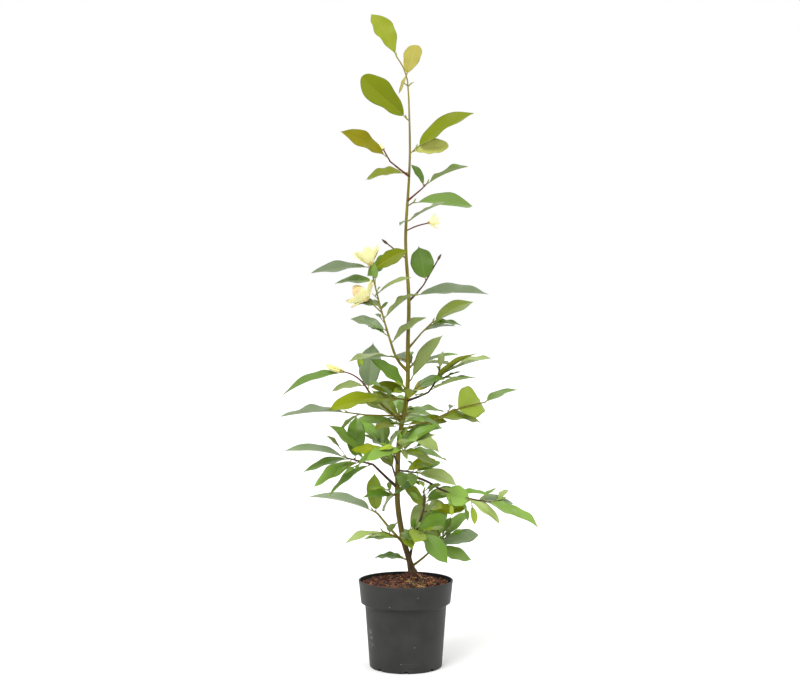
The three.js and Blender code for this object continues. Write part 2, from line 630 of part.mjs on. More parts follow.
const boughs = new Map();
for (const row of boughRows) {
  const bough = makeLimb(trunkPoint(row.height), row, row.radius, row.radius * BOUGH.tipShare, BOUGH);
  bough.solid = bough.solid.subtract(trunkAir);
  bough.air = airRound(bough, BOUGH.sides, towards(row.heading + 90, 0));
  boughs.set(row.name, bough);
  noteLimb(row.name, bough);
}

function makeStem(row) {
  const bough = boughs.get(row.from);
  const start = bough ? bough.path.at(-1) : trunkPoint(row.from === 'tip' ? trunkTop : row.from);
  return makeLimb(start, row, bough ? STEM.radius : STEM.radius * 0.8, STEM.tipRadius, STEM);
}

const stems = sprigRows.map((given) => {
  const row = { ...usual, ...given };
  const stem = makeStem(row);
  noteLimb(row.name, stem);
  return { row, stem };
});

const magnolia = new THREE.Group();
magnolia.add(toMesh('pot', makePot(), potFinish));
magnolia.add(toMesh('compost', makeCompost(), compostFinish));
magnolia.add(toMesh('trunk', trunk.solid, barkFinish));
boughs.forEach(({ solid }, name) => magnolia.add(toMesh(name, solid, twigFinish)));

stems.forEach(({ row, stem }, index) => {
  const { leaves, twigs, blooms } = growSprig(row, stem, seededNumbers(row.seed));
  const solids = [...twigs.map((twig) => twig.solid), ...leaves.map(leafSolid), ...blooms.map(blossomSolid)];
  let mass = stem.solid;
  for (const solid of solids) {
    mass = mass.add(solid);
  }
  const bough = boughs.get(row.from);
  mass = mass.subtract(bough ? bough.air : trunkAir);
  magnolia.add(toMesh(row.name, mass, leafFinishes[index % leafFinishes.length]));
});

export default magnolia;
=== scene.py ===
import math
import random

import bmesh
import bpy
import numpy as np
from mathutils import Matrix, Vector, noise


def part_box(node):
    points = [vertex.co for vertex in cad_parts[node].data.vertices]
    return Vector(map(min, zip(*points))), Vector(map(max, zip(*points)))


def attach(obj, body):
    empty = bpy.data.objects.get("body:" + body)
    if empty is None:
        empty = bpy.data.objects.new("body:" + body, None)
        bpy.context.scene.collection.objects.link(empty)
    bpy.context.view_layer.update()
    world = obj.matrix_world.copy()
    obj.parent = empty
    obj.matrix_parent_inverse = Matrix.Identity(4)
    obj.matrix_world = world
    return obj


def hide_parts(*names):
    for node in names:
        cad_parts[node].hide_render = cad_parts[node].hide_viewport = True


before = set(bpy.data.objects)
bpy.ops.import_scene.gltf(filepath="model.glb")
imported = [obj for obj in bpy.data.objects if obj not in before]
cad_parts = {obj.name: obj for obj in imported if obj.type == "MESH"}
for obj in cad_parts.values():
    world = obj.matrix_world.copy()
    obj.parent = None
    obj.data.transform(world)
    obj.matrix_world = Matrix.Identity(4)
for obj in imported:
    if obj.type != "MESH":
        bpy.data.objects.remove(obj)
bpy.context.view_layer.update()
sprigNodes = [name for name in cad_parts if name.startswith("sprig_")]
boughNodes = [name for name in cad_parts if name.startswith("bough_")]
print("frame loaded:", len(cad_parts), "nodes")

mm = 0.001


def addObject(name, data):
    thing = bpy.data.objects.new(name, data)
    bpy.context.scene.collection.objects.link(thing)
    return thing


# The camera stands in front of the plant, at about half its height.
view = {
    "place": (-10.4, -2426, 595),
    "focalPixels": 1350,
    "pixelsWide": 800,
    "tiltDown": 0.47,
    "sensor": 36,
    "farthest": 50,
}


def setCamera():
    data = bpy.data.cameras.new("camera")
    data.sensor_width = view["sensor"]
    data.lens = view["focalPixels"] * view["sensor"] / view["pixelsWide"]
    data.clip_end = view["farthest"]
    camera = addObject("camera", data)
    camera.location = [value * mm for value in view["place"]]
    camera.rotation_euler = (math.radians(90 - view["tiltDown"]), 0, 0)
    bpy.context.scene.camera = camera


setCamera()
print("camera set")


# Materials. Colours are given as hex, as they look in even light, and turned into linear values.
def linearColour(text, bright=1.0):
    values = [int(text[i:i + 2], 16) / 255 for i in (1, 3, 5)]
    linear = [v / 12.92 if v <= 0.04045 else ((v + 0.055) / 1.055) ** 2.4 for v in values]
    return (*[min(v * bright, 1.0) for v in linear], 1.0)


def shaderOf(material):
    return material.node_tree.nodes["Principled BSDF"]


def newMaterial(name, colour, roughness, bright=1.0, gloss=0.5):
    material = bpy.data.materials.new(name)
    material.use_nodes = True
    sockets = shaderOf(material).inputs
    sockets["Base Color"].default_value = linearColour(colour, bright)
    sockets["Roughness"].default_value = roughness
    sockets["Specular IOR Level"].default_value = gloss
    return material


def addNode(material, kind, links=None, **settings):
    node = material.node_tree.nodes.new(kind)
    for key, value in settings.items():
        if key in node.inputs:
            node.inputs[key].default_value = value
        else:
            setattr(node, key, value)
    for socket, source in (links or {}).items():
        material.node_tree.links.new(source, node.inputs[socket])
    return node


def objectPlace(material):
    return addNode(material, "ShaderNodeTexCoord").outputs["Object"]


def stretchedPlace(material, scale):
    place = {"Vector": objectPlace(material)}
    return addNode(material, "ShaderNodeMapping", place, Scale=scale).outputs["Vector"]


def noiseOver(material, scale, detail=3, stretch=(1, 1, 1), rough=0.5):
    place = stretchedPlace(material, stretch)
    return addNode(material, "ShaderNodeTexNoise", {"Vector": place}, Scale=scale, Detail=detail,
                   Roughness=rough).outputs["Fac"]


# A blend of two colours or two shares, while a value runs from one end of a span to the other.
def rampOver(material, value, span, looks):
    ramp = addNode(material, "ShaderNodeValToRGB", {"Fac": value})
    for element, position, look in zip(ramp.color_ramp.elements, span, looks):
        element.position = position
        element.color = linearColour(look) if isinstance(look, str) else (look, look, look, 1)
    return ramp.outputs["Color"]


def mathOver(material, operation, first, second):
    return addNode(material, "ShaderNodeMath", {0: first, 1: second}, operation=operation).outputs[0]


# A share that runs between two ends while a value runs between two others.
def rangeOver(material, value, span, ends=(0, 1)):
    node = addNode(material, "ShaderNodeMapRange", {"Value": value})
    for socket, number in zip(("From Min", "From Max", "To Min", "To Max"), (*span, *ends)):
        node.inputs[socket].default_value = number
    return node.outputs["Result"]


def mixOver(material, share, first, second):
    mix = material.node_tree.nodes.new("ShaderNodeMix")
    mix.data_type = "RGBA"
    firstColour, secondColour, result = mix.inputs[6], mix.inputs[7], mix.outputs[2]
    links = material.node_tree.links
    links.new(share, mix.inputs["Factor"])
    for socket, look in ((firstColour, first), (secondColour, second)):
        if isinstance(look, str):
            socket.default_value = linearColour(look)
        else:
            links.new(look, socket)
    return result


def feed(material, socket, value):
    material.node_tree.links.new(value, shaderOf(material).inputs[socket])


# The distance is how high the bumps stand, in metres.
def addBump(material, height, strength, distance):
    bump = addNode(material, "ShaderNodeBump", {"Height": height}, Strength=strength, Distance=distance)
    feed(material, "Normal", bump.outputs["Normal"])


# A fine bump all over, from the grain of a look.
def grained(material, look):
    addBump(material, noiseOver(material, **look["grain"]), *look["bump"])
    return material


# Mesh building. A build gathers points, faces and which material each face has.
def newBuild():
    return {"points": [], "faces": [], "looks": [], "count": 0}


def addPart(build, points, faces, looks):
    start = build["count"]
    build["points"].append(np.asarray(points, float))
    build["faces"].extend([tuple(start + i for i in face) for face in faces])
    build["looks"].extend([looks] * len(faces) if isinstance(looks, int) else looks)
    build["count"] += len(points)


# The faces between rows of points. In a closed row the last point joins the first.
def gridFaces(rows, wide, closed=False):
    faces = []
    for start in range(0, (rows - 1) * wide, wide):
        for k in range(wide if closed else wide - 1):
            a, b = start + k, start + (k + 1) % wide
            faces.append((a, b, b + wide, a + wide))
    return faces


def makeMesh(name, build):
    mesh = bpy.data.meshes.new(name)
    points = np.concatenate(build["points"]) * mm
    mesh.from_pydata(points.tolist(), [], build["faces"])
    return mesh


def makePiece(name, build, materials, nodes=(), sharpAngle=None):
    mesh = makeMesh(name, build)
    for material in materials:
        mesh.materials.append(material)
    mesh.polygons.foreach_set("material_index", np.array(build["looks"], np.int32))
    tidy = bmesh.new()
    tidy.from_mesh(mesh)
    bmesh.ops.recalc_face_normals(tidy, faces=tidy.faces)
    tidy.to_mesh(mesh)
    tidy.free()
    mesh.shade_smooth()
    if sharpAngle:
        mesh.set_sharp_from_angle(angle=math.radians(sharpAngle))
    piece = addObject(name, mesh)
    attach(piece, "root")
    if nodes:
        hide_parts(*nodes)
    return piece


# Vectors, and the seeded numbers of the growing rule.
up = np.array([0.0, 0.0, 1.0])
backward = np.array([0.0, 1.0, 0.0])


def unit(vector):
    return vector / np.linalg.norm(vector)


def turnedAbout(vector, axis, degrees):
    angle = math.radians(degrees)
    return (vector * math.cos(angle) + np.cross(axis, vector) * math.sin(angle)
            + axis * np.dot(axis, vector) * (1 - math.cos(angle)))


def towards(heading, rise):
    turn, lift = math.radians(heading), math.radians(rise)
    return np.array([math.cos(turn) * math.cos(lift), math.sin(turn) * math.cos(lift), math.sin(lift)])


def tipped(direction, degrees):
    return turnedAbout(direction, unit(np.cross(direction, up)), degrees)


# The two sideways directions of something that points along an axis.
def sidesOf(axis):
    first = unit(np.cross(axis, backward))
    return first, np.cross(axis, first)


# The place at an angle on a level circle.
def around(radius, angle):
    return radius * math.cos(angle), radius * math.sin(angle)


generator = {"spread": 7919, "offset": 12345, "factor": 48271, "modulus": 2147483647}


def seededNumbers(seed):
    state = (seed * generator["spread"] + generator["offset"]) % generator["modulus"]
    while True:
        state = (state * generator["factor"]) % generator["modulus"]
        yield state / generator["modulus"]


# Trunk: the same bends, flare and taper as its node, as height, across and away.
trunk = {
    "foot": 162.4,
    "radius": 5.3,
    "tipRadius": 1.3,
    "flare": 3.2,
    "flareHeight": 8,
    "taper": 0.9,
    "nearFoot": (-8, 3, 10, 20),
    "steps": 24,
    "bends": [
        (162.4, 12.4, 34),
        (191, 4.7, 32),
        (220, -3.7, 29),
        (281, -14, 24),
        (318, -15, 20),
        (405, -12, 14),
        (483, 2, 9),
        (586, 4, 6),
        (658, 5.5, 6),
        (766, -0.3, 4),
        (874, 5.6, 2),
        (928, 7.4, 0),
        (1020, 5.2, -1),
        (1052, 3, 0),
    ],
}
trunkTop = trunk["bends"][-1][0]

# The growing rule, in the words of the nodes' own. Angles are in degrees.
boughRule = {"tipShare": 0.72, "stride": 26}
stemRule = {"radius": 1.8, "onTrunk": 0.8, "tipRadius": 1.2, "stride": 40}
twigRule = {"share": 0.4, "sag": 14, "radius": 1.1, "tipRadius": 0.8, "stride": 30, "leafAt": (0.9, 0.5),
            "second": 0.9}
stalkRule = {"fan": 34, "reach": 36, "radius": 1.2}
bendStep = 14
turnsTried = (0, 10, -10, 20, -20, 32, -32, 45, -45)
clearOf = {"limb": 2.6, "others": 3.6, "own": 2.4, "ownFrom": 0.4}
leafRule = {"widthShare": 0.43, "stalkShare": 0.1, "fold": 16, "droop": 14, "faceOn": 82, "inset": 3,
            "sizeJitter": 0.1, "turnJitter": 14, "outline": (0.95, 0.68), "within": 0.35, "lastGap": 0.1,
            "seedStep": 100}
bloomLengths = {"flower": 38, "blossom": 36, "small": 20, "bud": 15}
bloomAtTip = {"bud": "bud", "small": "small", "blossom": "blossom", "flowers": "flower"}

# Boughs. Each has its name, the height where it leaves the trunk, its heading and rise in degrees, its
# reach, its bend, its radius and its bark.
boughRows = [
    ("top_left", 880, 206, 31, 45, 4, 1.9, "red"),
    ("top_right", 836, -36, 29, 37, 6, 1.8, "red"),
    ("bud_right", 656, 24, 40, 41, 10, 1.9, "brown"),
    ("long_left", 530, 206, 34, 54, 40, 2.9, "green"),
    ("upper_right", 570, 36, 42, 42, 2, 2, "green"),
    ("flower_left", 438, 158, 34, 84, 10, 2.7, "green"),
    ("thin_left", 449, 216, 2, 81, 2, 1.9, "green"),
    ("mid_right", 476, -36, 15, 51, 8, 2.3, "brown"),
    ("right", 424, 32, 8, 66, 6, 2.6, "green"),
    ("low_left", 318, 200, 42, 64, 2, 2.7, "brown"),
    ("low_right", 344, -18, -3, 87, -30, 2.6, "brown"),
    ("foot_left", 214, 158, 42, 75, 6, 2.6, "green"),
    ("foot_right", 172, 20, 30, 48, 10, 2.3, "green"),
    ("basal", 184, -54, 74, 92, -16, 2.4, "brown"),
    ("back", 396, 84, 30, 60, -6, 2.4, "brown"),
    ("front", 362, 262, 24, 54, -4, 2.4, "brown"),
]

# A sprig is one mass of leaves. "start" is the bough or the height on the trunk that it grows from, "leaf"
# the length of its end leaf, and "tints" are dealt out to its leaves in order, the end leaf first.
usual = {
    "bend": 0, "leaves": 0, "twigs": 0, "bare": 0.1, "crowd": 1, "fan": 55, "roll": 20, "side": 0.85,
    "wide": 1, "sag": 0, "nod": -8, "face": 28, "tip": "leaf", "first": 1, "bark": "green", "bloomAt": 0,
    "faceOn": -1, "ranks": 2, "faceLong": 1, "faceWide": 1, "faceTurn": 0, "blade": "pointed",
}


def sprigRow(name, start, heading, rise, reach, leaf, seed, tints, **others):
    return {**usual, "name": f"sprig_{name}", "start": start, "heading": heading, "rise": rise,
            "reach": reach, "leaf": leaf, "seed": seed, "tints": tints.split(), **others}


sprigRows = [
    sprigRow("crown", "tip", 180, 78, 48, 78, 4, "young pale", bend=-26, leaves=1, bare=0, crowd=0.5,
             fan=46, roll=90, side=0.78, wide=1.3, nod=-2, face=56, first=-1, blade="oval",
             bark="young"),
    sprigRow("upper_left", 978, 204, 41, 8, 103, 2, "olive", wide=1.1, nod=-9, face=84, blade="blunt",
             bark="young"),
    # The second leaf here takes a painted-light tint, brightened against the shade of the leaf above it.
    sprigRow("upper_right", 920, -26, 39, 16, 106, 3, "olive lemon", leaves=1, fan=46, roll=78,
             side=0.64, nod=-12, face=56, blade="oval", bark="young"),
    sprigRow("top_left", "top_left", 206, 57, 25, 98, 4, "bronze", leaves=1, bare=0, fan=45, roll=90,
             side=1, face=58, tip="bud", bark="red"),
    sprigRow("second_left", 886, 146, 5, 12, 92, 5, "young", face=44, blade="blunt"),
    sprigRow("top_right", "top_right", -36, 38, 16, 83, 6, "fresh deep", leaves=1, fan=70, roll=90,
             side=0.5, nod=-20, face=24, first=-1, bark="red"),
    sprigRow("second_right", 826, 28, 32, 17, 120, 7, "fresh", nod=-32, face=42),
    sprigRow("third_right", 798, -34, 22, 12, 72, 8, "dull grey", leaves=1, fan=90, side=0.45, nod=-1,
             face=10),
    sprigRow("blossom_right", 782, 30, 27, 50, 60, 9, "fresh", bend=-16, tip="small", bark="red"),
    sprigRow("bud_right", "bud_right", 24, 52, 55, 58, 10, "deep", bend=12, leaves=1, bare=0, crowd=0.5,
             fan=50, roll=90, side=1, faceOn=0, faceWide=1.5, first=-1, tip="bud", bark="red"),
    sprigRow("wavy_right", 666, -18, 2, 12, 132, 11, "grey", nod=-2, face=16),
    sprigRow("third_left", 732, 188, 38, 44, 80, 12, "mature", leaves=1, bare=0, fan=84, roll=64, side=1,
             wide=1.15, face=50, tip="bud", bark="red"),
    sprigRow("long_left", "long_left", 186, 72, 152, 96, 13, "grey dull grey dull grey dull fresh",
             bend=6, leaves=6, bare=0, crowd=0.92, fan=70, roll=56, side=0.74, nod=-84, face=38,
             first=-1, tip="flowers", bloomAt=0.42),
    sprigRow("edge_left", 549, 214, 14, 18, 96, 14, "dull", nod=-12, face=8),
    sprigRow("front_left", 494, 228, 34, 10, 76, 15, "mature olive", leaves=1, fan=60, nod=0, face=52),
    sprigRow("flower_left", "flower_left", 160, 62, 65, 138, 16, "mature grey dull fresh", bend=-52,
             leaves=2, bare=0, crowd=0.34, fan=54, roll=84, side=0.45, nod=-32, faceOn=0, faceLong=1.4,
             faceWide=1.1, first=-1, tip="blossom", bark="red"),
    sprigRow("olive_left", 478, 218, 7, 56, 105, 17, "olive lime mature", leaves=2, bare=0, fan=34,
             side=0.77, nod=-16, face=42),
    sprigRow("thin_left", "thin_left", 200, 8, 36, 113, 18, "grey fresh", leaves=1, fan=70, side=0.49,
             face=8),
    sprigRow("low_left", "low_left", 202, 15, 54, 101, 19, "grey mature fresh fresh mature mature",
             leaves=5, bare=0, fan=38, roll=66, side=0.82, nod=-2, endFace=4, faceOn=3, faceTurn=38,
             bark="brown"),
    sprigRow("inner_left", 326, 150, 70, 82, 78, 20, "mature olive lime grey dull fresh deep", leaves=6,
             bare=0.3, fan=62, roll=50, nod=-46, face=36, bark="brown"),
    sprigRow("foot_left", "foot_left", 158, 28, 11, 135, 21, "grey lime", leaves=1, bare=0, fan=64,
             roll=90, side=0.46, nod=-17, face=14, faceOn=0, first=-1),
    sprigRow("base_left", 222, 216, 23, 51, 81, 22, "dull fresh mature", leaves=2, fan=48, side=0.8,
             nod=-32, face=20),
    sprigRow("dark_left", 304, 214, 10, 12, 56, 23, "deep dull mature", leaves=2, bare=0.5, fan=80,
             side=1, wide=1.25, face=44, bark="brown"),
    sprigRow("ground_left", 184, 150, 10, 12, 62, 24, "deep", nod=-10),
    sprigRow("upper_right_mid", "upper_right", 34, 39, 33, 92, 25, "lime fresh mature dull", leaves=2,
             fan=34, roll=84, side=0.69, nod=-18, ranks=1),
    sprigRow("edge_right", 532, 34, 40, 16, 88, 27, "dull grey mature", leaves=2, bare=0.5, fan=60,
             nod=-40, face=10, first=-1),
    sprigRow("diagonal_right", 508, -34, 42, 12, 96, 28, "dull", nod=-2, face=24),
    sprigRow("mid_right", "mid_right", -30, 47, 51, 30, 29, "dull fresh olive dull lime", bend=30,
             leaves=3, bare=0, crowd=0.9, fan=40, roll=84, side=3.31, nod=2, face=14, ranks=1,
             bark="brown"),
    sprigRow("cluster_right", 488, -52, 24, 34, 64, 30, "deep lime pale olive grey", leaves=4, fan=58,
             face=48),
    sprigRow("narrow_right", 452, 40, 6, 16, 78, 31, "fresh mature", leaves=1, nod=-4),
    sprigRow("far_right", "right", 30, 24, 125, 69, 32, "fresh lime lime dull", bend=-18, leaves=2,
             bare=0, crowd=0.72, fan=14, roll=84, side=1.36, sag=22, nod=6, faceOn=1, faceLong=0.7,
             faceWide=2.3),
    sprigRow("front_cross", 434, 240, 4, 14, 78, 33, "olive mature fresh", leaves=2, fan=62, first=-1),
    sprigRow("droop_right", 416, -44, 3, 16, 78, 34, "dull olive mature", leaves=2, bare=0.5, fan=60,
             side=0.79, nod=-20),
    sprigRow("low_edge_right", 384, 34, -2, 16, 95, 35, "mature dull fresh", leaves=2, bare=0.5, fan=60,
             side=0.78, nod=-10),
    sprigRow("low_right", "low_right", -12, -20, 100, 80, 36, "fresh fresh mature dull grey fresh",
             bend=16, leaves=5, bare=0, fan=22, roll=40, side=0.84, sag=2, nod=-20, faceOn=0,
             faceLong=0.72, faceWide=1.8, bark="brown"),
    sprigRow("inner_right", 350, -34, 4, 44, 68, 37, "dull fresh olive fresh mature", bend=-14, leaves=4,
             fan=62, face=34, bark="brown"),
    sprigRow("basal", "basal", 20, 70, 48, 66, 38, "fresh olive lime dull mature pale mature", bend=30,
             leaves=5, twigs=1, fan=60, roll=60, face=48, bark="brown"),
    sprigRow("foot_right", "foot_right", 22, 44, 38, 66, 39,
             "fresh mature fresh mature grey fresh grey dull", leaves=7, bare=0, fan=68, roll=60,
             side=1.02, wide=1.2, sag=-10, face=60, first=-1),
    sprigRow("foot_inner", 240, -38, 2, 50, 68, 40, "mature lime dull fresh", leaves=5, fan=60, wide=1.4,
             nod=-48, face=68),
    sprigRow("back", "back", 96, 24, 72, 88, 41, "mature fresh olive dull lime mature", leaves=7,
             twigs=2),
    sprigRow("front", "front", 284, 20, 58, 82, 42, "fresh mature olive fresh dull", leaves=6, twigs=1),
]


def trunkPoint(height):
    bends = trunk["bends"]
    i = 0
    while i < len(bends) - 2 and height > bends[i + 1][0]:
        i += 1
    low, high = bends[i], bends[i + 1]
    before, after = bends[max(i - 1, 0)], bends[min(i + 2, len(bends) - 1)]
    span = high[0] - low[0]
    share = (height - low[0]) / span

    def blend(axis):
        leave = (high[axis] - before[axis]) / (high[0] - before[0]) * span
        arrive = (after[axis] - low[axis]) / (after[0] - low[0]) * span
        s2, s3 = share ** 2, share ** 3
        return ((2 * s3 - 3 * s2 + 1) * low[axis] + (s3 - 2 * s2 + share) * leave
                + (3 * s2 - 2 * s3) * high[axis] + (s3 - s2) * arrive)

    return np.array([blend(1), blend(2), height])


def trunkRadius(height):
    share = (height - trunk["foot"]) / (trunkTop - trunk["foot"])
    loss = trunk["radius"] - trunk["tipRadius"]
    radius = trunk["tipRadius"] + loss * max(1 - share, 0) ** trunk["taper"]
    return radius + trunk["flare"] * math.exp(-max(height - trunk["foot"], 0) / trunk["flareHeight"])


def makeLimb(start, heading, rise, reach, bend, radii, stride):
    steps = max(1, math.floor(reach / stride + 0.5), math.ceil(abs(bend) / bendStep))
    path = [np.array(start, float)]
    for i in range(steps):
        risen = rise + bend * (i + 0.5) / steps
        path.append(path[-1] + towards(heading, risen) * reach / steps)
    first, last = radii
    return {"path": path, "radii": [first + (last - first) * i / steps for i in range(steps + 1)]}


def makeShoot(start, direction, reach, radii):
    heading = math.degrees(math.atan2(direction[1], direction[0]))
    rise = math.degrees(math.asin(direction[2]))
    return makeLimb(start, heading, rise, reach, 0, radii, twigRule["stride"])


def along(path, share):
    at = min(share, 0.999) * (len(path) - 1)
    i = int(at)
    return path[i] + (path[i + 1] - path[i]) * (at - i), unit(path[i + 1] - path[i])


# What a new leaf keeps clear of: points along every limb, and the blades that already stand.
limbPoints = {"owners": [], "places": [], "radii": []}
pointSpacing = 5
bladeClouds = []


def noteLimb(owner, limb):
    path, radii = limb["path"], limb["radii"]
    for i in range(len(path) - 1):
        parts = math.ceil(np.linalg.norm(path[i + 1] - path[i]) / pointSpacing)
        for k in range(parts + 1):
            limbPoints["owners"].append(owner)
            limbPoints["places"].append(path[i] + (path[i + 1] - path[i]) * k / parts)
            limbPoints["radii"].append(radii[i])


def bladeWidth(share):
    early, full = leafRule["outline"]
    return math.sin(math.pi * share ** early) ** full if share < 1 else 0.0


def bladePoint(leaf, share, across):
    full = math.radians(leafRule["droop"])
    curl = full * share
    fold = math.radians(leafRule["fold"])
    half = 0.5 * leaf["width"] * bladeWidth(share) * across
    normal = leaf["normal"] * math.cos(curl) + leaf["direction"] * math.sin(curl)
    return (leaf["base"] + leaf["direction"] * (leaf["length"] * math.sin(curl) / full)
            + leaf["normal"] * (leaf["length"] * (math.cos(curl) - 1) / full)
            + leaf["across"] * (half * math.cos(fold)) + normal * (abs(half) * math.sin(fold)))


sampleShares = (0.12, 0.24, 0.36, 0.48, 0.6, 0.72, 0.84, 0.93, 1)
samplesAcross = (-0.9, -0.45, 0, 0.45, 0.9)


# Points over the blade, the far ones by themselves, and a ball around them all.
def bladeCloud(owner, leaf):
    points = np.array([bladePoint(leaf, share, across) for share in sampleShares for across in samplesAcross])
    shares = np.array([share for share in sampleShares for _ in samplesAcross])
    middle = points.mean(axis=0)
    return {"owner": owner, "points": points, "far": points[shares >= clearOf["ownFrom"]], "middle": middle,
            "size": np.linalg.norm(points - middle, axis=1).max()}


def distances(first, second):
    return np.linalg.norm(first[:, None] - second[None], axis=2)


# Leaves of one sprig may meet near their stalks.
def isClear(new):
    others = limbCloud["owners"] != new["owner"]
    away = distances(limbCloud["places"][others], new["points"])
    if (away <= (limbCloud["radii"][others] + clearOf["limb"])[:, None]).any():
        return False
    for cloud in bladeClouds:
        apart = np.linalg.norm(cloud["middle"] - new["middle"])
        if apart > new["size"] + cloud["size"] + clearOf["others"]:
            continue
        if cloud["owner"] != new["owner"]:
            near = distances(cloud["points"], new["points"]) <= clearOf["others"]
        else:
            near = distances(cloud["far"], new["far"]) <= clearOf["own"]
        if near.any():
            return False
    return True


def isWithin(points, space):
    low, high = space
    return bool((points >= low).all() and (points <= high).all())


# face is how far a blade's upper side is turned to the front.
def makeLeaf(root, chord, length, width, face):
    direction = tipped(chord, leafRule["droop"] / 2)
    outward = np.array([0, -math.sin(math.radians(face)), math.cos(math.radians(face))])
    normal = unit(outward - direction * np.dot(outward, direction))
    return {
        "root": root,
        "base": root + direction * leafRule["stalkShare"] * length,
        "direction": direction,
        "normal": normal,
        "across": np.cross(direction, normal),
        "length": length,
        "width": width,
    }


# A leaf that would touch a limb or another leaf, or leave the space it is given, is turned up or down,
# and left out if that fails.
def placeLeaf(owner, root, chord, length, width, face, space=None):
    for turn in turnsTried:
        leaf = makeLeaf(root, tipped(chord, turn), length, width, face)
        cloud = bladeCloud(owner, leaf)
        if space and not isWithin(cloud["points"], space):
            continue
        if isClear(cloud):
            bladeClouds.append(cloud)
            return leaf
    return None


# What a leaf needs for its looks: its tint, its own random draws and the kind of blade.
def dressed(leaf, tint, style, blade="pointed"):
    return {**leaf, "tint": tint, "style": style, "blade": blade}


# Where leaf i grows: the point, the stem's direction and the level direction across it.
def jointOf(row, stem, i, within):
    last = row["leaves"] + leafRule["lastGap"]
    share = row["bare"] + (row["crowd"] - row["bare"]) * (i + within) / last
    point, forward = along(stem["path"], share)
    return point, forward, unit(np.cross(forward, up))


# Leaves or side twigs alternate along the stem, which ends in a leaf, a bud or a flower. The draws come
# in the same order as in the node, so that every leaf falls in place.
def growSprig(row, stem):
    numbers = seededNumbers(row["seed"])
    grown = {"leaves": [], "twigs": [], "blooms": [], "joints": []}
    path, tints = stem["path"], row["tints"]

    def jitter(size):
        return (next(numbers) * 2 - 1) * size

    def leafAt(root, chord, fullLength, rank, faceOn=False):
        length = fullLength * (1 + jitter(leafRule["sizeJitter"]))
        width = length * leafRule["widthShare"] * row["wide"] * (1 + jitter(leafRule["sizeJitter"]))
        width *= row["faceWide"] if faceOn else 1
        towardsFront = row["face"] if rank else row.get("endFace", row["face"])
        face = leafRule["faceOn"] if faceOn else towardsFront + jitter(leafRule["turnJitter"])
        leaf = placeLeaf(row["name"], root, chord, length, width, face)
        if leaf:
            # an oval row's end leaf stays pointed
            blade = row["blade"] if rank or row["blade"] == "blunt" else "pointed"
            style = random.Random(row["seed"] * leafRule["seedStep"] + rank)
            tint = tints[rank % len(tints)]
            grown["leaves"].append(dressed(leaf, tint, style, "round" if faceOn else blade))

    if row["tip"] not in ("bud", "small"):
        point, forward = along(path, 1 - leafRule["inset"] / row["reach"])
        leafAt(point, tipped(forward, row["nod"]), row["leaf"], 0)
    sideLeaf = row["leaf"] * row["side"]
    for i in range(row["leaves"]):
        point, forward, level = jointOf(row, stem, i, leafRule["within"])
        rank = turnedAbout(level, forward, row["roll"] + jitter(leafRule["turnJitter"]))
        side = -row["first"] if i % row["ranks"] else row["first"]
        facing = i == row["faceOn"]
        fan = row["fan"] + jitter(leafRule["turnJitter"]) + (row["faceTurn"] if facing else 0)
        fan = math.radians(fan)
        direction = tipped(forward * math.cos(fan) + rank * side * math.sin(fan), -row["sag"])
        grown["joints"].append((point, forward, direction, row["bark"]))
        if i < row["twigs"]:
            twig = makeShoot(point, direction, row["reach"] * twigRule["share"],
                             (twigRule["radius"], twigRule["tipRadius"]))
            grown["twigs"].append({**twig, "bark": row["bark"]})
            end, middle = (along(twig["path"], share)[0] for share in twigRule["leafAt"])
            leafAt(end, tipped(direction, -twigRule["sag"]), sideLeaf, i + 1)
            aside = turnedAbout(direction, up, row["fan"] * (1 if i % 2 else -1))
            leafAt(middle, aside, sideLeaf * twigRule["second"], i + 2)
        else:
            leafAt(point, direction, sideLeaf * (row["faceLong"] if facing else 1), i + 1, facing)
    kind = bloomAtTip.get(row["tip"])
    if kind:
        grown["blooms"].append((path[-1], along(path, 1)[1], kind, row["tip"]))
    if row["bloomAt"]:
        point, forward = along(path, row["bloomAt"])
        rank = turnedAbout(unit(np.cross(forward, up)), forward, row["roll"])
        direction = turnedAbout(forward, -np.cross(rank, forward), stalkRule["fan"])
        stalk = makeShoot(point, direction, stalkRule["reach"], [stalkRule["radius"]] * 2)
        grown["twigs"].append({**stalk, "bark": row["bark"]})
        grown["blooms"].append((stalk["path"][-1], direction, "flower", "side"))
    return grown


# Fine shoots: the rule carried one step further, with short twigs between the leaves of the fuller
# stems, each ending in a young leaf, all within the box of the sprig's node and clear of the flowers.
shootRule = {
    "within": 0.85,
    "reach": (9, 24),
    "radii": (0.75, 0.5),
    "fan": (36, 66),
    "roll": (0, 360),
    "leaf": (20, 36),
    "leafAt": 0.94,
    "sag": 8,
    "secondChance": 0.45,
    "secondAt": 0.5,
    "secondSize": 0.7,
    "width": (0.9, 1.1),
    "face": (-14, 14),
    "offBloom": 34,
    "seed": 900,
    "tints": ("fresh", "mature", "dull", "lime", "fresh", "mature"),
}


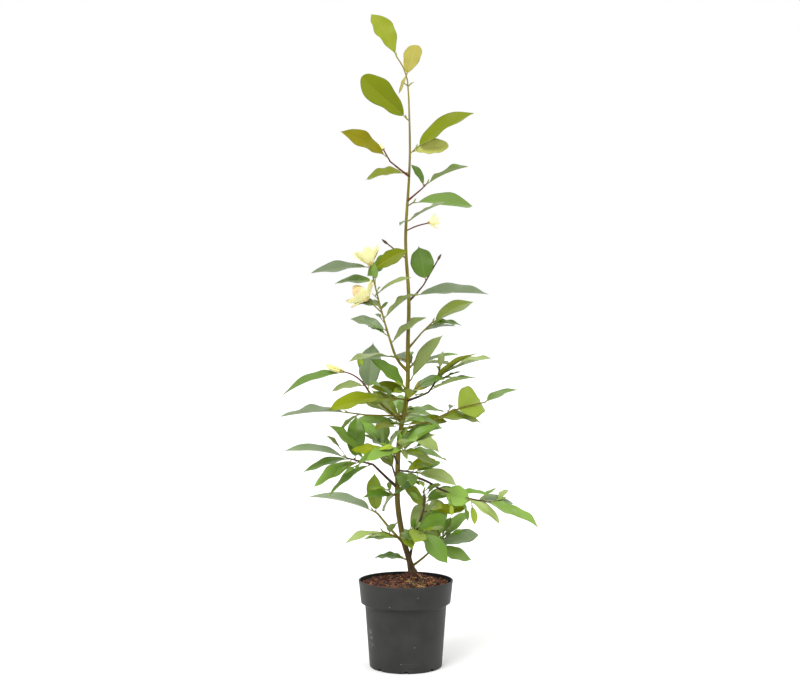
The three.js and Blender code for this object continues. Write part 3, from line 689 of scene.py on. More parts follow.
def growShoots(row, stem):
    chance = random.Random(shootRule["seed"] + row["seed"])
    owner = row["name"]
    space = [np.array(corner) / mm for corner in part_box(owner)]
    grown = {"leaves": [], "twigs": []}
    middles = [start + axis * bloomLengths[kind] / 2 for start, axis, kind, _ in blooms]
    for i in range(row["leaves"]):
        point, forward, level = jointOf(row, stem, i, shootRule["within"])
        rank = turnedAbout(level, forward, chance.uniform(*shootRule["roll"]))
        fan = math.radians(chance.uniform(*shootRule["fan"]))
        direction = forward * math.cos(fan) + rank * math.sin(fan)
        twig = makeShoot(point, direction, chance.uniform(*shootRule["reach"]), shootRule["radii"])
        length = chance.uniform(*shootRule["leaf"])
        aside = turnedAbout(direction, up, row["fan"] * chance.choice((-1, 1)))
        wanted = [(shootRule["leafAt"], tipped(direction, -shootRule["sag"]), length)]
        if chance.random() < shootRule["secondChance"]:
            wanted.append((shootRule["secondAt"], aside, length * shootRule["secondSize"]))
        placed = []
        for share, chord, size in wanted:
            root = along(twig["path"], share)[0]
            width = size * leafRule["widthShare"] * chance.uniform(*shootRule["width"])
            face = row["face"] + chance.uniform(*shootRule["face"])
            tint, style = chance.choice(shootRule["tints"]), random.Random(chance.random())
            centre = root + chord * size / 2
            if any(np.linalg.norm(middle - centre) < shootRule["offBloom"] for middle in middles):
                continue
            leaf = placeLeaf(owner, root, chord, size, width, face, space)
            if leaf:
                placed.append(dressed(leaf, tint, style))
        if placed:
            grown["twigs"].append({**twig, "bark": "green"})
            grown["leaves"] += placed
    return grown


# The trunk's points start closer together, where it flares.
heights = [trunk["foot"] + rise for rise in trunk["nearFoot"]]
trunkRest = trunkTop - heights[-1]
heights += [heights[-1] + trunkRest * (i + 1) / trunk["steps"] for i in range(trunk["steps"])]
noteLimb("trunk", {"path": [trunkPoint(h) for h in heights], "radii": [trunkRadius(h) for h in heights]})

boughs = {}
for name, height, heading, rise, reach, bend, radius, bark in boughRows:
    limb = makeLimb(trunkPoint(height), heading, rise, reach, bend, (radius, radius * boughRule["tipShare"]),
                    boughRule["stride"])
    boughs[name] = {**limb, "bark": bark}
    noteLimb(f"bough_{name}", limb)

stems = []
for row in sprigRows:
    parent = boughs.get(row["start"])
    if parent:
        start, radius = parent["path"][-1], stemRule["radius"]
    else:
        start = trunkPoint(trunkTop if row["start"] == "tip" else row["start"])
        radius = stemRule["radius"] * stemRule["onTrunk"]
    stem = makeLimb(start, row["heading"], row["rise"], row["reach"], row["bend"],
                    (radius, stemRule["tipRadius"]), stemRule["stride"])
    stems.append((row, stem, parent))
    noteLimb(row["name"], stem)

limbCloud = {key: np.array(values) for key, values in limbPoints.items()}

leaves, blooms, joints, sideTwigs = [], [], [], []
for row, stem, _ in stems:
    grown = growSprig(row, stem)
    leaves += grown["leaves"]
    blooms += grown["blooms"]
    joints += grown["joints"]
    sideTwigs += grown["twigs"]
for row, stem, _ in stems:
    if row["leaves"] > 1:
        grown = growShoots(row, stem)
        leaves += grown["leaves"]
        sideTwigs += grown["twigs"]

# The newest growth on the trunk's tip: a narrow folded leaf that hangs down and two stubby stipules.
# Each is given by height, heading, rise, length, width, face and tint.
tipGrowth = [
    (1064, 200, -70, 36, 8, 30, "pale"),
    (1040, 8, 40, 13, 5, 30, "young"),
    (1041, 176, 34, 10, 4.5, 30, "young"),
]
for height, heading, rise, length, width, face, tint in tipGrowth:
    leaf = makeLeaf(trunkPoint(height), towards(heading, rise), length, width, face)
    leaves.append(dressed(leaf, tint, random.Random(height)))

# One broad leaf beside the upper flower lies across the front of the trunk.
crossing = {"stem": "sprig_long_left", "share": 0.93, "heading": 338, "rise": 26, "length": 66, "width": 32,
            "face": 62, "tint": "olive", "seed": 63}


def crossingLeaf():
    path = next(stem["path"] for row, stem, _ in stems if row["name"] == crossing["stem"])
    root, chord = along(path, crossing["share"])[0], towards(crossing["heading"], crossing["rise"])
    leaf = makeLeaf(root, chord, crossing["length"], crossing["width"], crossing["face"])
    return dressed(leaf, crossing["tint"], random.Random(crossing["seed"]))


leaves.append(crossingLeaf())
print("grown:", len(leaves), "leaves,", len(sideTwigs), "side twigs,", len(blooms), "blooms")


# Limbs: round tubes on a smooth curve through the path, with bark relief.
def smoothPath(path, radii, spacing):
    points = [2 * path[0] - path[1], *path, 2 * path[-1] - path[-2]]
    finePath, fineRadii = [], []
    for i in range(1, len(points) - 2):
        before, a, b, after = points[i - 1:i + 3]
        count = max(2, round(np.linalg.norm(b - a) / spacing))
        for k in range(count):
            t = k / count
            finePath.append(0.5 * (2 * a + (b - before) * t + (2 * before - 5 * a + 4 * b - after) * t * t
                                   + (3 * a - before - 3 * b + after) * t ** 3))
            fineRadii.append(radii[i - 1] + (radii[i] - radii[i - 1]) * t)
    return finePath + [path[-1]], fineRadii + [radii[-1]]


# A closed tube round a path, with one end point before its first ring and one past its last.
endShare = 0.7


def tubeRings(path, radii, sides, relief=None):
    rings = []
    first = None
    last = len(path) - 1
    travelled = 0.0
    for i, centre in enumerate(path):
        tangent = unit(path[min(i + 1, last)] - path[max(i - 1, 0)])
        if first is None:
            first = np.cross(tangent, backward)
        first = unit(first - tangent * np.dot(first, tangent))
        second = np.cross(tangent, first)
        travelled += np.linalg.norm(centre - path[max(i - 1, 0)])
        for k in range(sides):
            angle = 2 * math.pi * k / sides
            radius = radii[i] * (1 + relief(angle, travelled, centre) if relief else 1)
            rings.append(centre + (first * math.cos(angle) + second * math.sin(angle)) * radius)
    faces = gridFaces(len(path), sides, closed=True)
    rings += [path[0], path[-1] + unit(path[-1] - path[-2]) * radii[-1] * endShare]
    for k in range(sides):
        faces.append((last * sides + k, last * sides + (k + 1) % sides, len(rings) - 1))
        faces.append(((k + 1) % sides, k, len(rings) - 2))
    return rings, faces


# Furrows that run along a limb, coarse and fine, and a swelling at every old leaf scar.
furrowShape = {"round": 1.6, "along": 0.05, "coarse": (1.7, 0.6), "fine": (4.1, 0.4), "scarWidth": 9,
               "scar": 0.5}


def barkRelief(depth, scarGap, seed):
    shape = furrowShape

    def relief(angle, travelled, centre):
        x, y = around(shape["round"], angle)
        place = Vector((x + seed, y, travelled * shape["along"]))
        furrows = sum(noise.noise(place * scale) * share for scale, share in (shape["coarse"], shape["fine"]))
        fromScar = (travelled % scarGap) / scarGap * shape["scarWidth"] - shape["scarWidth"] / 2
        return depth * (furrows + shape["scar"] * math.exp(-fromScar ** 2))

    return relief


# Bark of the trunk and the boughs: brown and furrowed low down, green and smooth towards the top.
barkLook = {
    "brown": "#4b3927",
    "dark": "#33231a",
    "green": "#796f22",
    "deepGreen": "#5a5418",
    "young": "#877c38",
    "red": "#6b3b26",
    "deepRed": "#3f2318",
    "spot": "#a08c63",
    "roughness": 0.72,
    "gloss": 0.2,
    # heights in metres between which the brown turns green, and the green turns young
    "turnsGreen": (0.20, 0.50),
    "turnsYoung": (0.94, 1.1),
    # how far up and down the patches move those heights
    "wander": 0.12,
    # patterns, the spans over which their looks blend, and the bumps' strength and distance
    "stripes": {"scale": 260, "detail": 4, "stretch": (1, 1, 0.16)},
    "stripeSpan": (0.3, 0.62),
    "bump": (0.5, 0.0006),
    "poreScale": 240,
    "poreStretch": (1, 1, 0.6),
    "poreSpan": (0.1, 0.2),
    "poreShares": (0.55, 0.0),
    "trunkStripes": {"scale": 220, "detail": 5, "stretch": (1, 1, 0.14)},
    "trunkSpan": (0.32, 0.6),
    "trunkPatches": {"scale": 34, "stretch": (1, 1, 0.4)},
    "trunkBump": (0.6, 0.0009),
}


def barkMaterial(name, light, dark, spots=True):
    material = newMaterial(name, light, barkLook["roughness"], gloss=barkLook["gloss"])
    stripes = noiseOver(material, **barkLook["stripes"])
    colour = rampOver(material, stripes, barkLook["stripeSpan"], (dark, light))
    if spots:
        place = {"Vector": stretchedPlace(material, barkLook["poreStretch"])}
        pores = addNode(material, "ShaderNodeTexVoronoi", place, Scale=barkLook["poreScale"])
        mask = rampOver(material, pores.outputs["Distance"], barkLook["poreSpan"], barkLook["poreShares"])
        colour = mixOver(material, mask, colour, barkLook["spot"])
    feed(material, "Base Color", colour)
    addBump(material, stripes, *barkLook["bump"])
    return material


def trunkMaterial():
    material = newMaterial("trunk_bark", barkLook["brown"], barkLook["roughness"], gloss=barkLook["gloss"])
    stripes = noiseOver(material, **barkLook["trunkStripes"])
    patches = noiseOver(material, **barkLook["trunkPatches"])
    low = rampOver(material, stripes, barkLook["trunkSpan"], (barkLook["dark"], barkLook["brown"]))
    high = rampOver(material, stripes, barkLook["stripeSpan"], (barkLook["deepGreen"], barkLook["green"]))
    height = addNode(material, "ShaderNodeSeparateXYZ", {"Vector": objectPlace(material)}).outputs["Z"]
    wander = addNode(material, "ShaderNodeMath", {0: patches, 2: height}, operation="MULTIPLY_ADD")
    wander.inputs[1].default_value = barkLook["wander"]
    colour = low
    for look, span in ((high, barkLook["turnsGreen"]), (barkLook["young"], barkLook["turnsYoung"])):
        colour = mixOver(material, rangeOver(material, wander.outputs[0], span), colour, look)
    feed(material, "Base Color", colour)
    addBump(material, stripes, *barkLook["trunkBump"])
    return material


# The trunk's foot spreads into root ridges that fade upwards.
trunkMesh = {"sides": 26, "ringStep": 2.4, "relief": 0.075, "scarGap": 34, "sunk": 5, "seed": 3,
             "roots": 5, "rootRise": 0.16, "rootFade": 9, "rootTurn": 0.6}


def makeTrunk():
    build = newBuild()
    low = trunk["foot"] - trunkMesh["sunk"]
    count = round((trunkTop - low) / trunkMesh["ringStep"])
    heights = [low + (trunkTop - low) * i / count for i in range(count + 1)]
    path = [trunkPoint(height) for height in heights]
    radii = [trunkRadius(height) for height in heights]
    bark = barkRelief(trunkMesh["relief"], trunkMesh["scarGap"], trunkMesh["seed"])

    def relief(angle, travelled, centre):
        fade = math.exp(-max(centre[2] - trunk["foot"], 0) / trunkMesh["rootFade"])
        ridge = math.cos(trunkMesh["roots"] * angle + trunkMesh["rootTurn"])
        return bark(angle, travelled, centre) + trunkMesh["rootRise"] * fade * ridge

    addPart(build, *tubeRings(path, radii, trunkMesh["sides"], relief), 0)
    makePiece("trunk_bark", build, [trunkMaterial()], ["trunk"])


makeTrunk()

barkNames = ["brown", "green", "red", "young"]
barkMaterials = [
    barkMaterial("bough_bark_brown", barkLook["brown"], barkLook["dark"]),
    barkMaterial("bough_bark_green", barkLook["green"], barkLook["deepGreen"], spots=False),
    barkMaterial("bough_bark_red", barkLook["red"], barkLook["deepRed"], spots=False),
    barkMaterial("bough_bark_young", barkLook["young"], barkLook["green"], spots=False),
]
limbMesh = {
    "boughSides": 14,
    "stemSides": 10,
    "twigSides": 8,
    "spacing": 3.2,
    "relief": 0.07,
    # how much thicker a bough is where it leaves the trunk, and over how many rings that fades
    "collar": 0.35,
    "collarFade": 2.2,
    # gaps between leaf scars, and how far apart two limbs lie in the furrow pattern
    "boughScars": 19,
    "boughShift": 3.7,
    "stemScars": 15,
    "stemShift": 2.3,
    # a stem's foot on the trunk, as a share of the trunk's radius
    "footShare": 0.42,
}


def addLimb(build, path, radii, sides, bark, relief=None):
    addPart(build, *tubeRings(path, radii, sides, relief), barkNames.index(bark))


def makeBoughs():
    build = newBuild()
    for index, limb in enumerate(boughs.values()):
        path, radii = smoothPath(limb["path"], limb["radii"], limbMesh["spacing"])
        radii = [radius * (1 + limbMesh["collar"] * math.exp(-i / limbMesh["collarFade"]))
                 for i, radius in enumerate(radii)]
        relief = barkRelief(limbMesh["relief"], limbMesh["boughScars"], index * limbMesh["boughShift"])
        addLimb(build, path, radii, limbMesh["boughSides"], limb["bark"], relief)
    makePiece("bough_bark", build, barkMaterials, boughNodes)


makeBoughs()


# Stems go on from their bough's tip at its own thickness and end as thin as a leaf's stalk.
def footRadius(row, parent):
    if parent:
        return parent["radii"][-1]
    if row["start"] == "tip":
        return trunk["tipRadius"]
    return trunkRadius(row["start"]) * limbMesh["footShare"]


def makeTwigs():
    build = newBuild()
    for index, (row, stem, parent) in enumerate(stems):
        radii = [footRadius(row, parent), *stem["radii"][1:]]
        path, radii = smoothPath(stem["path"], radii, limbMesh["spacing"])
        relief = barkRelief(limbMesh["relief"], limbMesh["stemScars"], index * limbMesh["stemShift"])
        addLimb(build, path, radii, limbMesh["stemSides"], row["bark"], relief)
    for twig in sideTwigs:
        path, radii = smoothPath(twig["path"], twig["radii"], limbMesh["spacing"])
        addLimb(build, path, radii, limbMesh["twigSides"], twig["bark"])
    makePiece("twigs", build, barkMaterials, sprigNodes)


makeTwigs()
print("trunk, boughs and twigs made")


# Leaves: leathery blades with a sunk midrib, quilted between their side veins, with wavy margins.
leafMesh = {
    "sideColumns": (0, 0.14, 0.32, 0.52, 0.72, 0.88, 1),
    "rows": 40,
    "rowCrowd": 0.92,
    "thick": 0.42,
    "ribHalf": 0.5,
    "ribSunk": 0.22,
    "ribRaised": 0.5,
    "ribThinning": 0.8,
    # the share where the rib would run out, and its most as a share of the blade's half-width
    "ribTaper": 1.15,
    "ribMost": 0.6,
    "edgeSharp": 4,
    "sagPower": 2.2,
    "waveRise": 1.7,
    "veins": 9,
    "veinSlant": 0.16,
    "veinDepth": 0.34,
    "veinSharp": 3,
    "veinReach": 1.1,
    "veinFade": 0.6,
    "tipPoint": 0.75,
    "tipFrom": 0.72,
    "tipReach": 0.28,
    "tipPower": 1.6,
    "leastHalf": 0.25,
    "waistAt": 0.36,
    "waistReach": 0.15,
    "stalkSides": 8,
    "stalkSpacing": 2.0,
    "stalkRadii": (1.35, 0.95, 0.8, 0.72),
    # the stalk sags halfway, and then runs on under the blade
    "stalkSag": 0.5,
    "stalkUnder": (0.2, 0.55),
    "stalkOn": 0.09,
}
# What each leaf draws for itself, between these ends. The sag, the wave and the swing are shares of its
# length, and the twist is in degrees.
leafDraws = {
    "width": (0.82, 1.0),
    "point": (0.15, 1),
    "widest": (0.44, 0.56),
    "fullness": (0.62, 0.86),
    "fold": (0.6, 1.35),
    "sag": (0.0, 0.13),
    "twist": (-16, 16),
    "cup": (-0.05, 0.09),
    "wave": (0.01, 0.034),
    "waves": (1.3, 2.8),
    "phase": (0, 6.3),
    "swing": (-0.06, 0.06),
    "notch": (0.015, 0.06),
    "notches": (1.6, 3.4),
}
# Blades with a form of their own. Their outline gives the widest place, the fullness and the point, and
# the waist is how deep the left margin dips.
bladeForms = {
    "blunt": {"wide": 1.04, "long": 0.95, "waist": 0.34, "outline": (0.6, 0.5, 0.0)},
    "oval": {"wide": 1.04, "long": 0.95, "waist": 0.12, "outline": (0.6, 0.5, 0.0)},
    "round": {"wide": 1.04, "long": 1, "waist": 0, "outline": (0.45, 0.64, 1.5)},
}
# Each tint: its upper side, its underside and its midrib.
leafTints = {
    "young": ("#98a42a", "#a6ae4c", "#b0b84c"),
    "pale": ("#b5ad50", "#beb66a", "#ccc47c"),
    # lemon is painted light: a leaf colour made far brighter than its own, to stand in for the light the leaf
    # shows though it lies in shade under a larger leaf.
    "lemon": ("#ced26c", "#d4d878", "#dade84"),
    "lime": ("#8ea424", "#9cac4c", "#a6b84a"),
    "fresh": ("#7a9c3a", "#92a65a", "#96b05a"),
    "olive": ("#7e8b06", "#929c36", "#a0a638"),
    "mature": ("#6c9228", "#889e54", "#8aa84e"),
    "deep": ("#587c16", "#7c9448", "#769a42"),
    # grey and dull hold both the leaves' own grey-green and painted sheen: the pale reflection of glossy
    # leaves is painted into their colour.
    "grey": ("#7e9266", "#9aa783", "#96a87c"),
    "dull": ("#90a258", "#9cab75", "#a7b272"),
    "bronze": ("#8b8604", "#9a9434", "#a29a34"),
}
# Old leaves shine more than young ones.
leafGloss = {"young": 0.12, "pale": 0.12, "lemon": 0.12, "olive": 0.12, "bronze": 0.12}
oldGloss = 0.32
leafLook = {"stalk": "#9aa04a", "upper": 0.42, "under": 0.62, "rest": 0.5, "restBright": 0.58,
            "grain": {"scale": 900, "detail": 2}, "bump": (0.1, 0.0002)}
# A leaf takes one of three shades next to each other, its own tone, and starts one step lighter below each
# height. That step is painted light: it brightens the lower leaves, upper side and underside, against the
# shade that the crown above casts on them.
shadesAndPaintedLight = (0.5, 0.59, 0.7, 0.84, 1.0)
underShadesAndPaintedLight = (0.58, 0.72, 0.92)
paintedLightBelow = (560, 420)


def leafMaterial(name, colour, roughness, bright=leafLook["restBright"], gloss=oldGloss):
    return grained(newMaterial(name, colour, roughness, bright, gloss), leafLook)


# Half-width along a blade: widest at a place of its own, with a tip from blunt to drawn out.
def outlineAt(share, widest, fullness, point):
    bent = min(share, 0.9999) ** (math.log(0.5) / math.log(widest))
    beyond = max(0.0, (share - leafMesh["tipFrom"]) / leafMesh["tipReach"])
    return math.sin(math.pi * bent) ** (fullness + point * beyond ** leafMesh["tipPower"])


# The upper and lower points of a blade in rows from foot to tip, and how many there are in a row.
def bladeGrid(leaf):
    def draw(what):
        return leaf["style"].uniform(*leafDraws[what])

    length, width = leaf["length"], leaf["width"] * draw("width")
    pointed = draw("point") * leafMesh["tipPoint"]
    outline, waist = (draw("widest"), draw("fullness"), pointed), 0
    form = bladeForms.get(leaf["blade"])
    if form:
        length, width = length * form["long"], leaf["width"] * form["wide"]
        outline, waist = form["outline"], form["waist"]
    full = math.radians(leafRule["droop"])
    fold = math.radians(leafRule["fold"] * draw("fold"))
    sagging, sagPower = draw("sag") * length, leafMesh["sagPower"]
    twist = math.radians(draw("twist"))
    cup = draw("cup")
    wave, waves = draw("wave") * length, draw("waves")
    phases = {-1: draw("phase"), 1: draw("phase")}
    swing = draw("swing") * length
    notch, notches = draw("notch"), draw("notches")
    columns = leafMesh["sideColumns"]
    places = [(-1, c) for c in reversed(columns)] + [(1, c) for c in columns]
    top, bottom = [], []
    for i in range(leafMesh["rows"] + 1):
        share = 0.5 - 0.5 * math.cos(math.pi * (i / leafMesh["rows"]) ** leafMesh["rowCrowd"])
        curl, turn = full * share, twist * share
        level = leaf["normal"] * math.cos(curl) + leaf["direction"] * math.sin(curl)
        across = leaf["across"] * math.cos(turn) + level * math.sin(turn)
        normal = level * math.cos(turn) - leaf["across"] * math.sin(turn)
        centre = (leaf["base"] + leaf["direction"] * (length * math.sin(curl) / full)
                  + leaf["normal"] * (length * (math.cos(curl) - 1) / full - sagging * share ** sagPower)
                  + leaf["across"] * swing * math.sin(math.pi * share) * share)
        halfWidth = max(0.5 * width * outlineAt(share, *outline), leafMesh["leastHalf"])
        ribHalf = min(leafMesh["ribHalf"] * (leafMesh["ribTaper"] - share), halfWidth * leafMesh["ribMost"])
        dip = waist * math.exp(-((share - leafMesh["waistAt"]) / leafMesh["waistReach"]) ** 2)
        for side, column in places:
            phase = phases[side]
            half = halfWidth * (1 + notch * math.sin(2 * math.pi * notches * share + 2 * phase))
            if side < 0:
                half *= 1 - dip
            offset = ribHalf + (half - ribHalf) * column
            edge = wave * column ** leafMesh["waveRise"] * math.sin(2 * math.pi * waves * share + phase)
            slanted = share - leafMesh["veinSlant"] * column
            vein = 0.5 + 0.5 * math.cos(2 * math.pi * leafMesh["veins"] * slanted)
            between = math.sin(math.pi * min(column * leafMesh["veinReach"], 1))
            quilt = leafMesh["veinDepth"] * vein ** leafMesh["veinSharp"] * between ** leafMesh["veinFade"]
            lift = offset * math.sin(fold) + cup * half * column ** 2 - quilt
            lift += edge * math.sin(math.pi * share)
            if column == 0:
                lift -= leafMesh["ribSunk"] * (1 - share)
            point = centre + across * (side * offset * math.cos(fold)) + normal * lift
            top.append(point)
            thick = leafMesh["thick"] * (1 - column ** leafMesh["edgeSharp"])
            if column == 0:
                thick += leafMesh["ribRaised"] * (1 - leafMesh["ribThinning"] * share)
            bottom.append(point - normal * thick)
    return top, bottom, len(places)


# Material numbers in a leaf piece: shades of the upper side, then of the underside, each with its
# painted-light steps, the rib, the stalk.
firstUnder = len(shadesAndPaintedLight)
rib = firstUnder + len(underShadesAndPaintedLight)
stalk = rib + 1


def addLeaf(build, leaf):
    top, bottom, wide = bladeGrid(leaf)
    rows = len(top) // wide
    # Painted light: a leaf rooted low down takes a lighter shade, on its upper side and its underside.
    paintedLightSteps = sum(leaf["root"][2] < height for height in paintedLightBelow)
    shadeAndPaintedLight = leaf["style"].randrange(len(shadesAndPaintedLight) - len(paintedLightBelow)) + paintedLightSteps
    under = firstUnder + paintedLightSteps
    upperAt = [[r * wide + c for c in range(wide)] for r in range(rows)]
    points = list(top)
    lowerAt = []
    for r in range(rows):
        line = [upperAt[r][0]]
        for c in range(1, wide - 1):
            line.append(len(points))
            points.append(bottom[r * wide + c])
        lowerAt.append(line + [upperAt[r][wide - 1]])
    faces, looks = [], []
    middle = wide // 2 - 1
    for r in range(rows - 1):
        for c in range(wide - 1):
            faces.append((upperAt[r][c], upperAt[r][c + 1], upperAt[r + 1][c + 1], upperAt[r + 1][c]))
            faces.append((lowerAt[r][c], lowerAt[r + 1][c], lowerAt[r + 1][c + 1], lowerAt[r][c + 1]))
            looks += [rib, rib] if c == middle else [shadeAndPaintedLight, under]
    for r in (0, rows - 1):
        for c in range(wide - 1):
            corners = [upperAt[r][c], upperAt[r][c + 1], lowerAt[r][c + 1], lowerAt[r][c]]
            faces.append(tuple(dict.fromkeys(corners)))
            looks.append(under)
    addPart(build, points, faces, looks)
    root, base, below = leaf["root"], leaf["base"], leaf["normal"]
    into = leaf["direction"] * leaf["length"] * leafMesh["stalkOn"]
    near, far = leafMesh["stalkUnder"]
    run = [root, root + (base - root) * 0.5 - up * leafMesh["stalkSag"], base - below * near,
           base + into - below * far]
    path, radii = smoothPath(run, leafMesh["stalkRadii"], leafMesh["stalkSpacing"])
    addPart(build, *tubeRings(path, radii, leafMesh["stalkSides"]), stalk)


def makeLeaves():
    stalkLook = leafMaterial("leaf_stalk", leafLook["stalk"], leafLook["rest"])
    for tint, (upperColour, underColour, ribColour) in leafTints.items():
        build = newBuild()
        for leaf in leaves:
            if leaf["tint"] == tint:
                addLeaf(build, leaf)
        gloss = leafGloss.get(tint, oldGloss)
        # The last shades on each side are the painted-light steps for the lower leaves.
        materials = [leafMaterial(f"leaf_{tint}_{i}", upperColour, leafLook["upper"], shadeAndPaintedLight, gloss)
                     for i, shadeAndPaintedLight in enumerate(shadesAndPaintedLight)]
        materials += [leafMaterial(f"leaf_{tint}_under_{i}", underColour, leafLook["under"], shadeAndPaintedLight, gloss)
                      for i, shadeAndPaintedLight in enumerate(underShadesAndPaintedLight)]
        materials += [leafMaterial(f"leaf_{tint}_rib", ribColour, leafLook["rest"], gloss=gloss), stalkLook]
        makePiece(f"leaves_{tint}", build, materials)


makeLeaves()
print("leaves made")


# Flowers: petals in two whorls, cupped and spread, on a short stalk with bud scales at its foot.
petalTints = {
    "cream": "#fcf6b4",
    "warm": "#f9dca0",
    "green": "#d4cf80",
    "scale": "#8a6a35",
    "dark": "#4d3a22",
}
cream, warm, greenish, scaleBrown, scaleDark = range(len(petalTints))
petalLook = {"roughness": 0.55, "bright": 0.9, "gloss": 0.25,
             "grain": {"scale": 300, "detail": 2, "stretch": (1, 1, 0.3)}, "bump": (0.05, 0.0002)}
petalMesh = {"rows": 14, "columns": 8, "thick": 0.35, "flare": 0.06, "tip": 0.45, "hollow": 0.32,
             "flatter": 0.35, "ripple": 0.03, "ripples": (5, 9), "outline": (0.1, 0.82, 1.25, 0.8)}


# Rows of points over a petal, each with its normal. It leaves the axis at an angle and bends on the way.
def petalGrid(base, axis, out, length, width, opening, curve, style):
    side = np.cross(axis, out)
    angle = math.radians(opening)
    place = np.array(base, float)
    rings = []
    step = length / petalMesh["rows"]
    flare = style.uniform(-petalMesh["flare"], petalMesh["flare"])
    crosswise, lengthwise = petalMesh["ripples"]
    foot, span, late, full = petalMesh["outline"]
    for i in range(petalMesh["rows"] + 1):
        share = i / petalMesh["rows"]
        turn = angle + math.radians(curve) * share
        forward = axis * math.cos(turn) + out * math.sin(turn)
        normal = out * math.cos(turn) - axis * math.sin(turn)
        half = 0.5 * width * math.sin(math.pi * (foot + span * share ** late)) ** full
        if i == petalMesh["rows"]:
            half *= petalMesh["tip"]
        ring = []
        for k in range(petalMesh["columns"] + 1):
            across = 2 * k / petalMesh["columns"] - 1
            hollow = -petalMesh["hollow"] * half * across ** 2 * (1 - petalMesh["flatter"] * share)
            wave = math.sin(crosswise * across + lengthwise * share)
            ripple = petalMesh["ripple"] * width * wave * abs(across) * share
            ring.append(place + side * (half * across + flare * length * share ** 2)
                        + normal * (hollow + ripple))
        rings.append((ring, normal))
        place = place + forward * step
    return rings


# A petal with a thickness. Its looks are dealt out from foot to tip.
def addPetal(build, rings, looks):
    faces, chosen = [], []
    wide = petalMesh["columns"] + 1
    points = [point for ring, normal in rings for point in ring]
    inner = len(points)
    points += [point - normal * petalMesh["thick"] for ring, normal in rings for point in ring]
    last = len(rings) - 1
    for i in range(last):
        look = looks[min(int(len(looks) * (i + 0.5) / last), len(looks) - 1)]
        for k in range(wide - 1):
            a = i * wide + k
            faces += [(a, a + 1, a + wide + 1, a + wide),
                      (inner + a, inner + a + wide, inner + a + wide + 1, inner + a + 1)]
            chosen += [look, look]
        for a in (i * wide, i * wide + wide - 1):
            faces.append((a, a + wide, inner + a + wide, inner + a))
            chosen.append(look)
    for a in range(wide - 1):
        far = last * wide + a
        faces += [(a, a + 1, inner + a + 1, inner + a), (far, far + 1, inner + far + 1, inner + far)]
        chosen += [looks[0], looks[-1]]
    addPart(build, points, faces, chosen)


# Whorls: petals, length and width as shares of the bloom's length, opening and curve in degrees.
bloomForms = {
    "flowers": [(5, 0.9, 0.56, 14, -14), (6, 1.06, 0.62, 50, -22)],
    "side": [(5, 0.94, 0.56, 16, -12), (6, 1.1, 0.6, 62, -8)],
    "blossom": [(3, 1.0, 0.3, 3, -8), (3, 1.04, 0.34, 9, -16)],
    "small": [(5, 0.98, 0.42, 14, -6), (7, 1.16, 0.44, 46, -20)],
}

bloomDraws = {"turn": (-0.15, 0.15), "size": (0.9, 1.05), "opening": (-6, 6)}
bloomSeed = 700
bloomSunk = 0.02
# The scales round a bloom's foot: how many, length, width, opening and curve, and how far down they start.
bloomScales = {"count": 3, "form": (9, 6.5, 24, -20), "down": 1.5, "turn": 0.25}
# Tip buds: where each starts below the stem's end, its length, radius and look. The first one is open
# enough to show its petals, above a collar of scales.
firstTipBud = [(1, 14, 3.4, cream), (2, 6, 3.1, scaleBrown)]
otherTipBud = [(1, 14, 2.3, scaleDark)]
budMesh = {"rings": 12, "sides": 10, "leastRadius": 0.12, "ridges": 3, "ridgeRise": 0.05,
           "outline": (0.06, 0.8, 0.85, 0.04)}


def outFrom(axis, angle):
    first, second = sidesOf(axis)
    return first * math.cos(angle) + second * math.sin(angle)


def addBloom(build, start, axis, kind, form, style):
    length = bloomLengths[kind]
    base = start - axis * bloomSunk * length
    for whorl, (count, long, wide, opening, curve) in enumerate(bloomForms[form]):
        for i in range(count):
            angle = 2 * math.pi * (i + 0.5 * whorl) / count + style.uniform(*bloomDraws["turn"])
            size = length * style.uniform(*bloomDraws["size"])
            opened = opening + style.uniform(*bloomDraws["opening"])
            out = outFrom(axis, angle)
            rings = petalGrid(base, axis, out, size * long, size * wide, opened, curve, style)
            tip = warm if form == "side" and i % 2 else cream
            foot = warm if whorl and i % 2 else greenish
            addPetal(build, rings, [foot, cream, cream, tip])
    scales = bloomScales["count"]
    for i in range(scales):
        out = outFrom(axis, 2 * math.pi * (i + bloomScales["turn"]) / scales)
        rings = petalGrid(start - axis * bloomScales["down"], axis, out, *bloomScales["form"], style)
        addPetal(build, rings, [scaleDark, scaleBrown])


def budRadius(share):
    foot, early, full, least = budMesh["outline"]
    return math.sin(math.pi * min(foot + (1 - foot) * share, 1) ** early) ** full + least


def budRidges(angle, travelled, centre):
    return budMesh["ridgeRise"] * math.cos(budMesh["ridges"] * angle)


def addBud(build, start, axis, length, radius, look):
    count = budMesh["rings"]
    path = [start + axis * length * i / count for i in range(count + 1)]
    radii = [max(radius * budRadius(i / count), budMesh["leastRadius"]) for i in range(count + 1)]
    addPart(build, *tubeRings(path, radii, budMesh["sides"], budRidges), look)


def makeBlossom():
    build = newBuild()
    shine = [petalLook[what] for what in ("roughness", "bright", "gloss")]
    materials = [grained(newMaterial(f"petal_{name}", colour, *shine), petalLook)
                 for name, colour in petalTints.items()]
    for index, (start, axis, kind, form) in enumerate(blooms):
        if form == "bud":
            for down, length, radius, look in otherTipBud if index else firstTipBud:
                addBud(build, start - axis * down, axis, length, radius, look)
        else:
            addBloom(build, start, axis, kind, form, random.Random(bloomSeed + index))
    makePiece("blossom", build, materials)


makeBlossom()


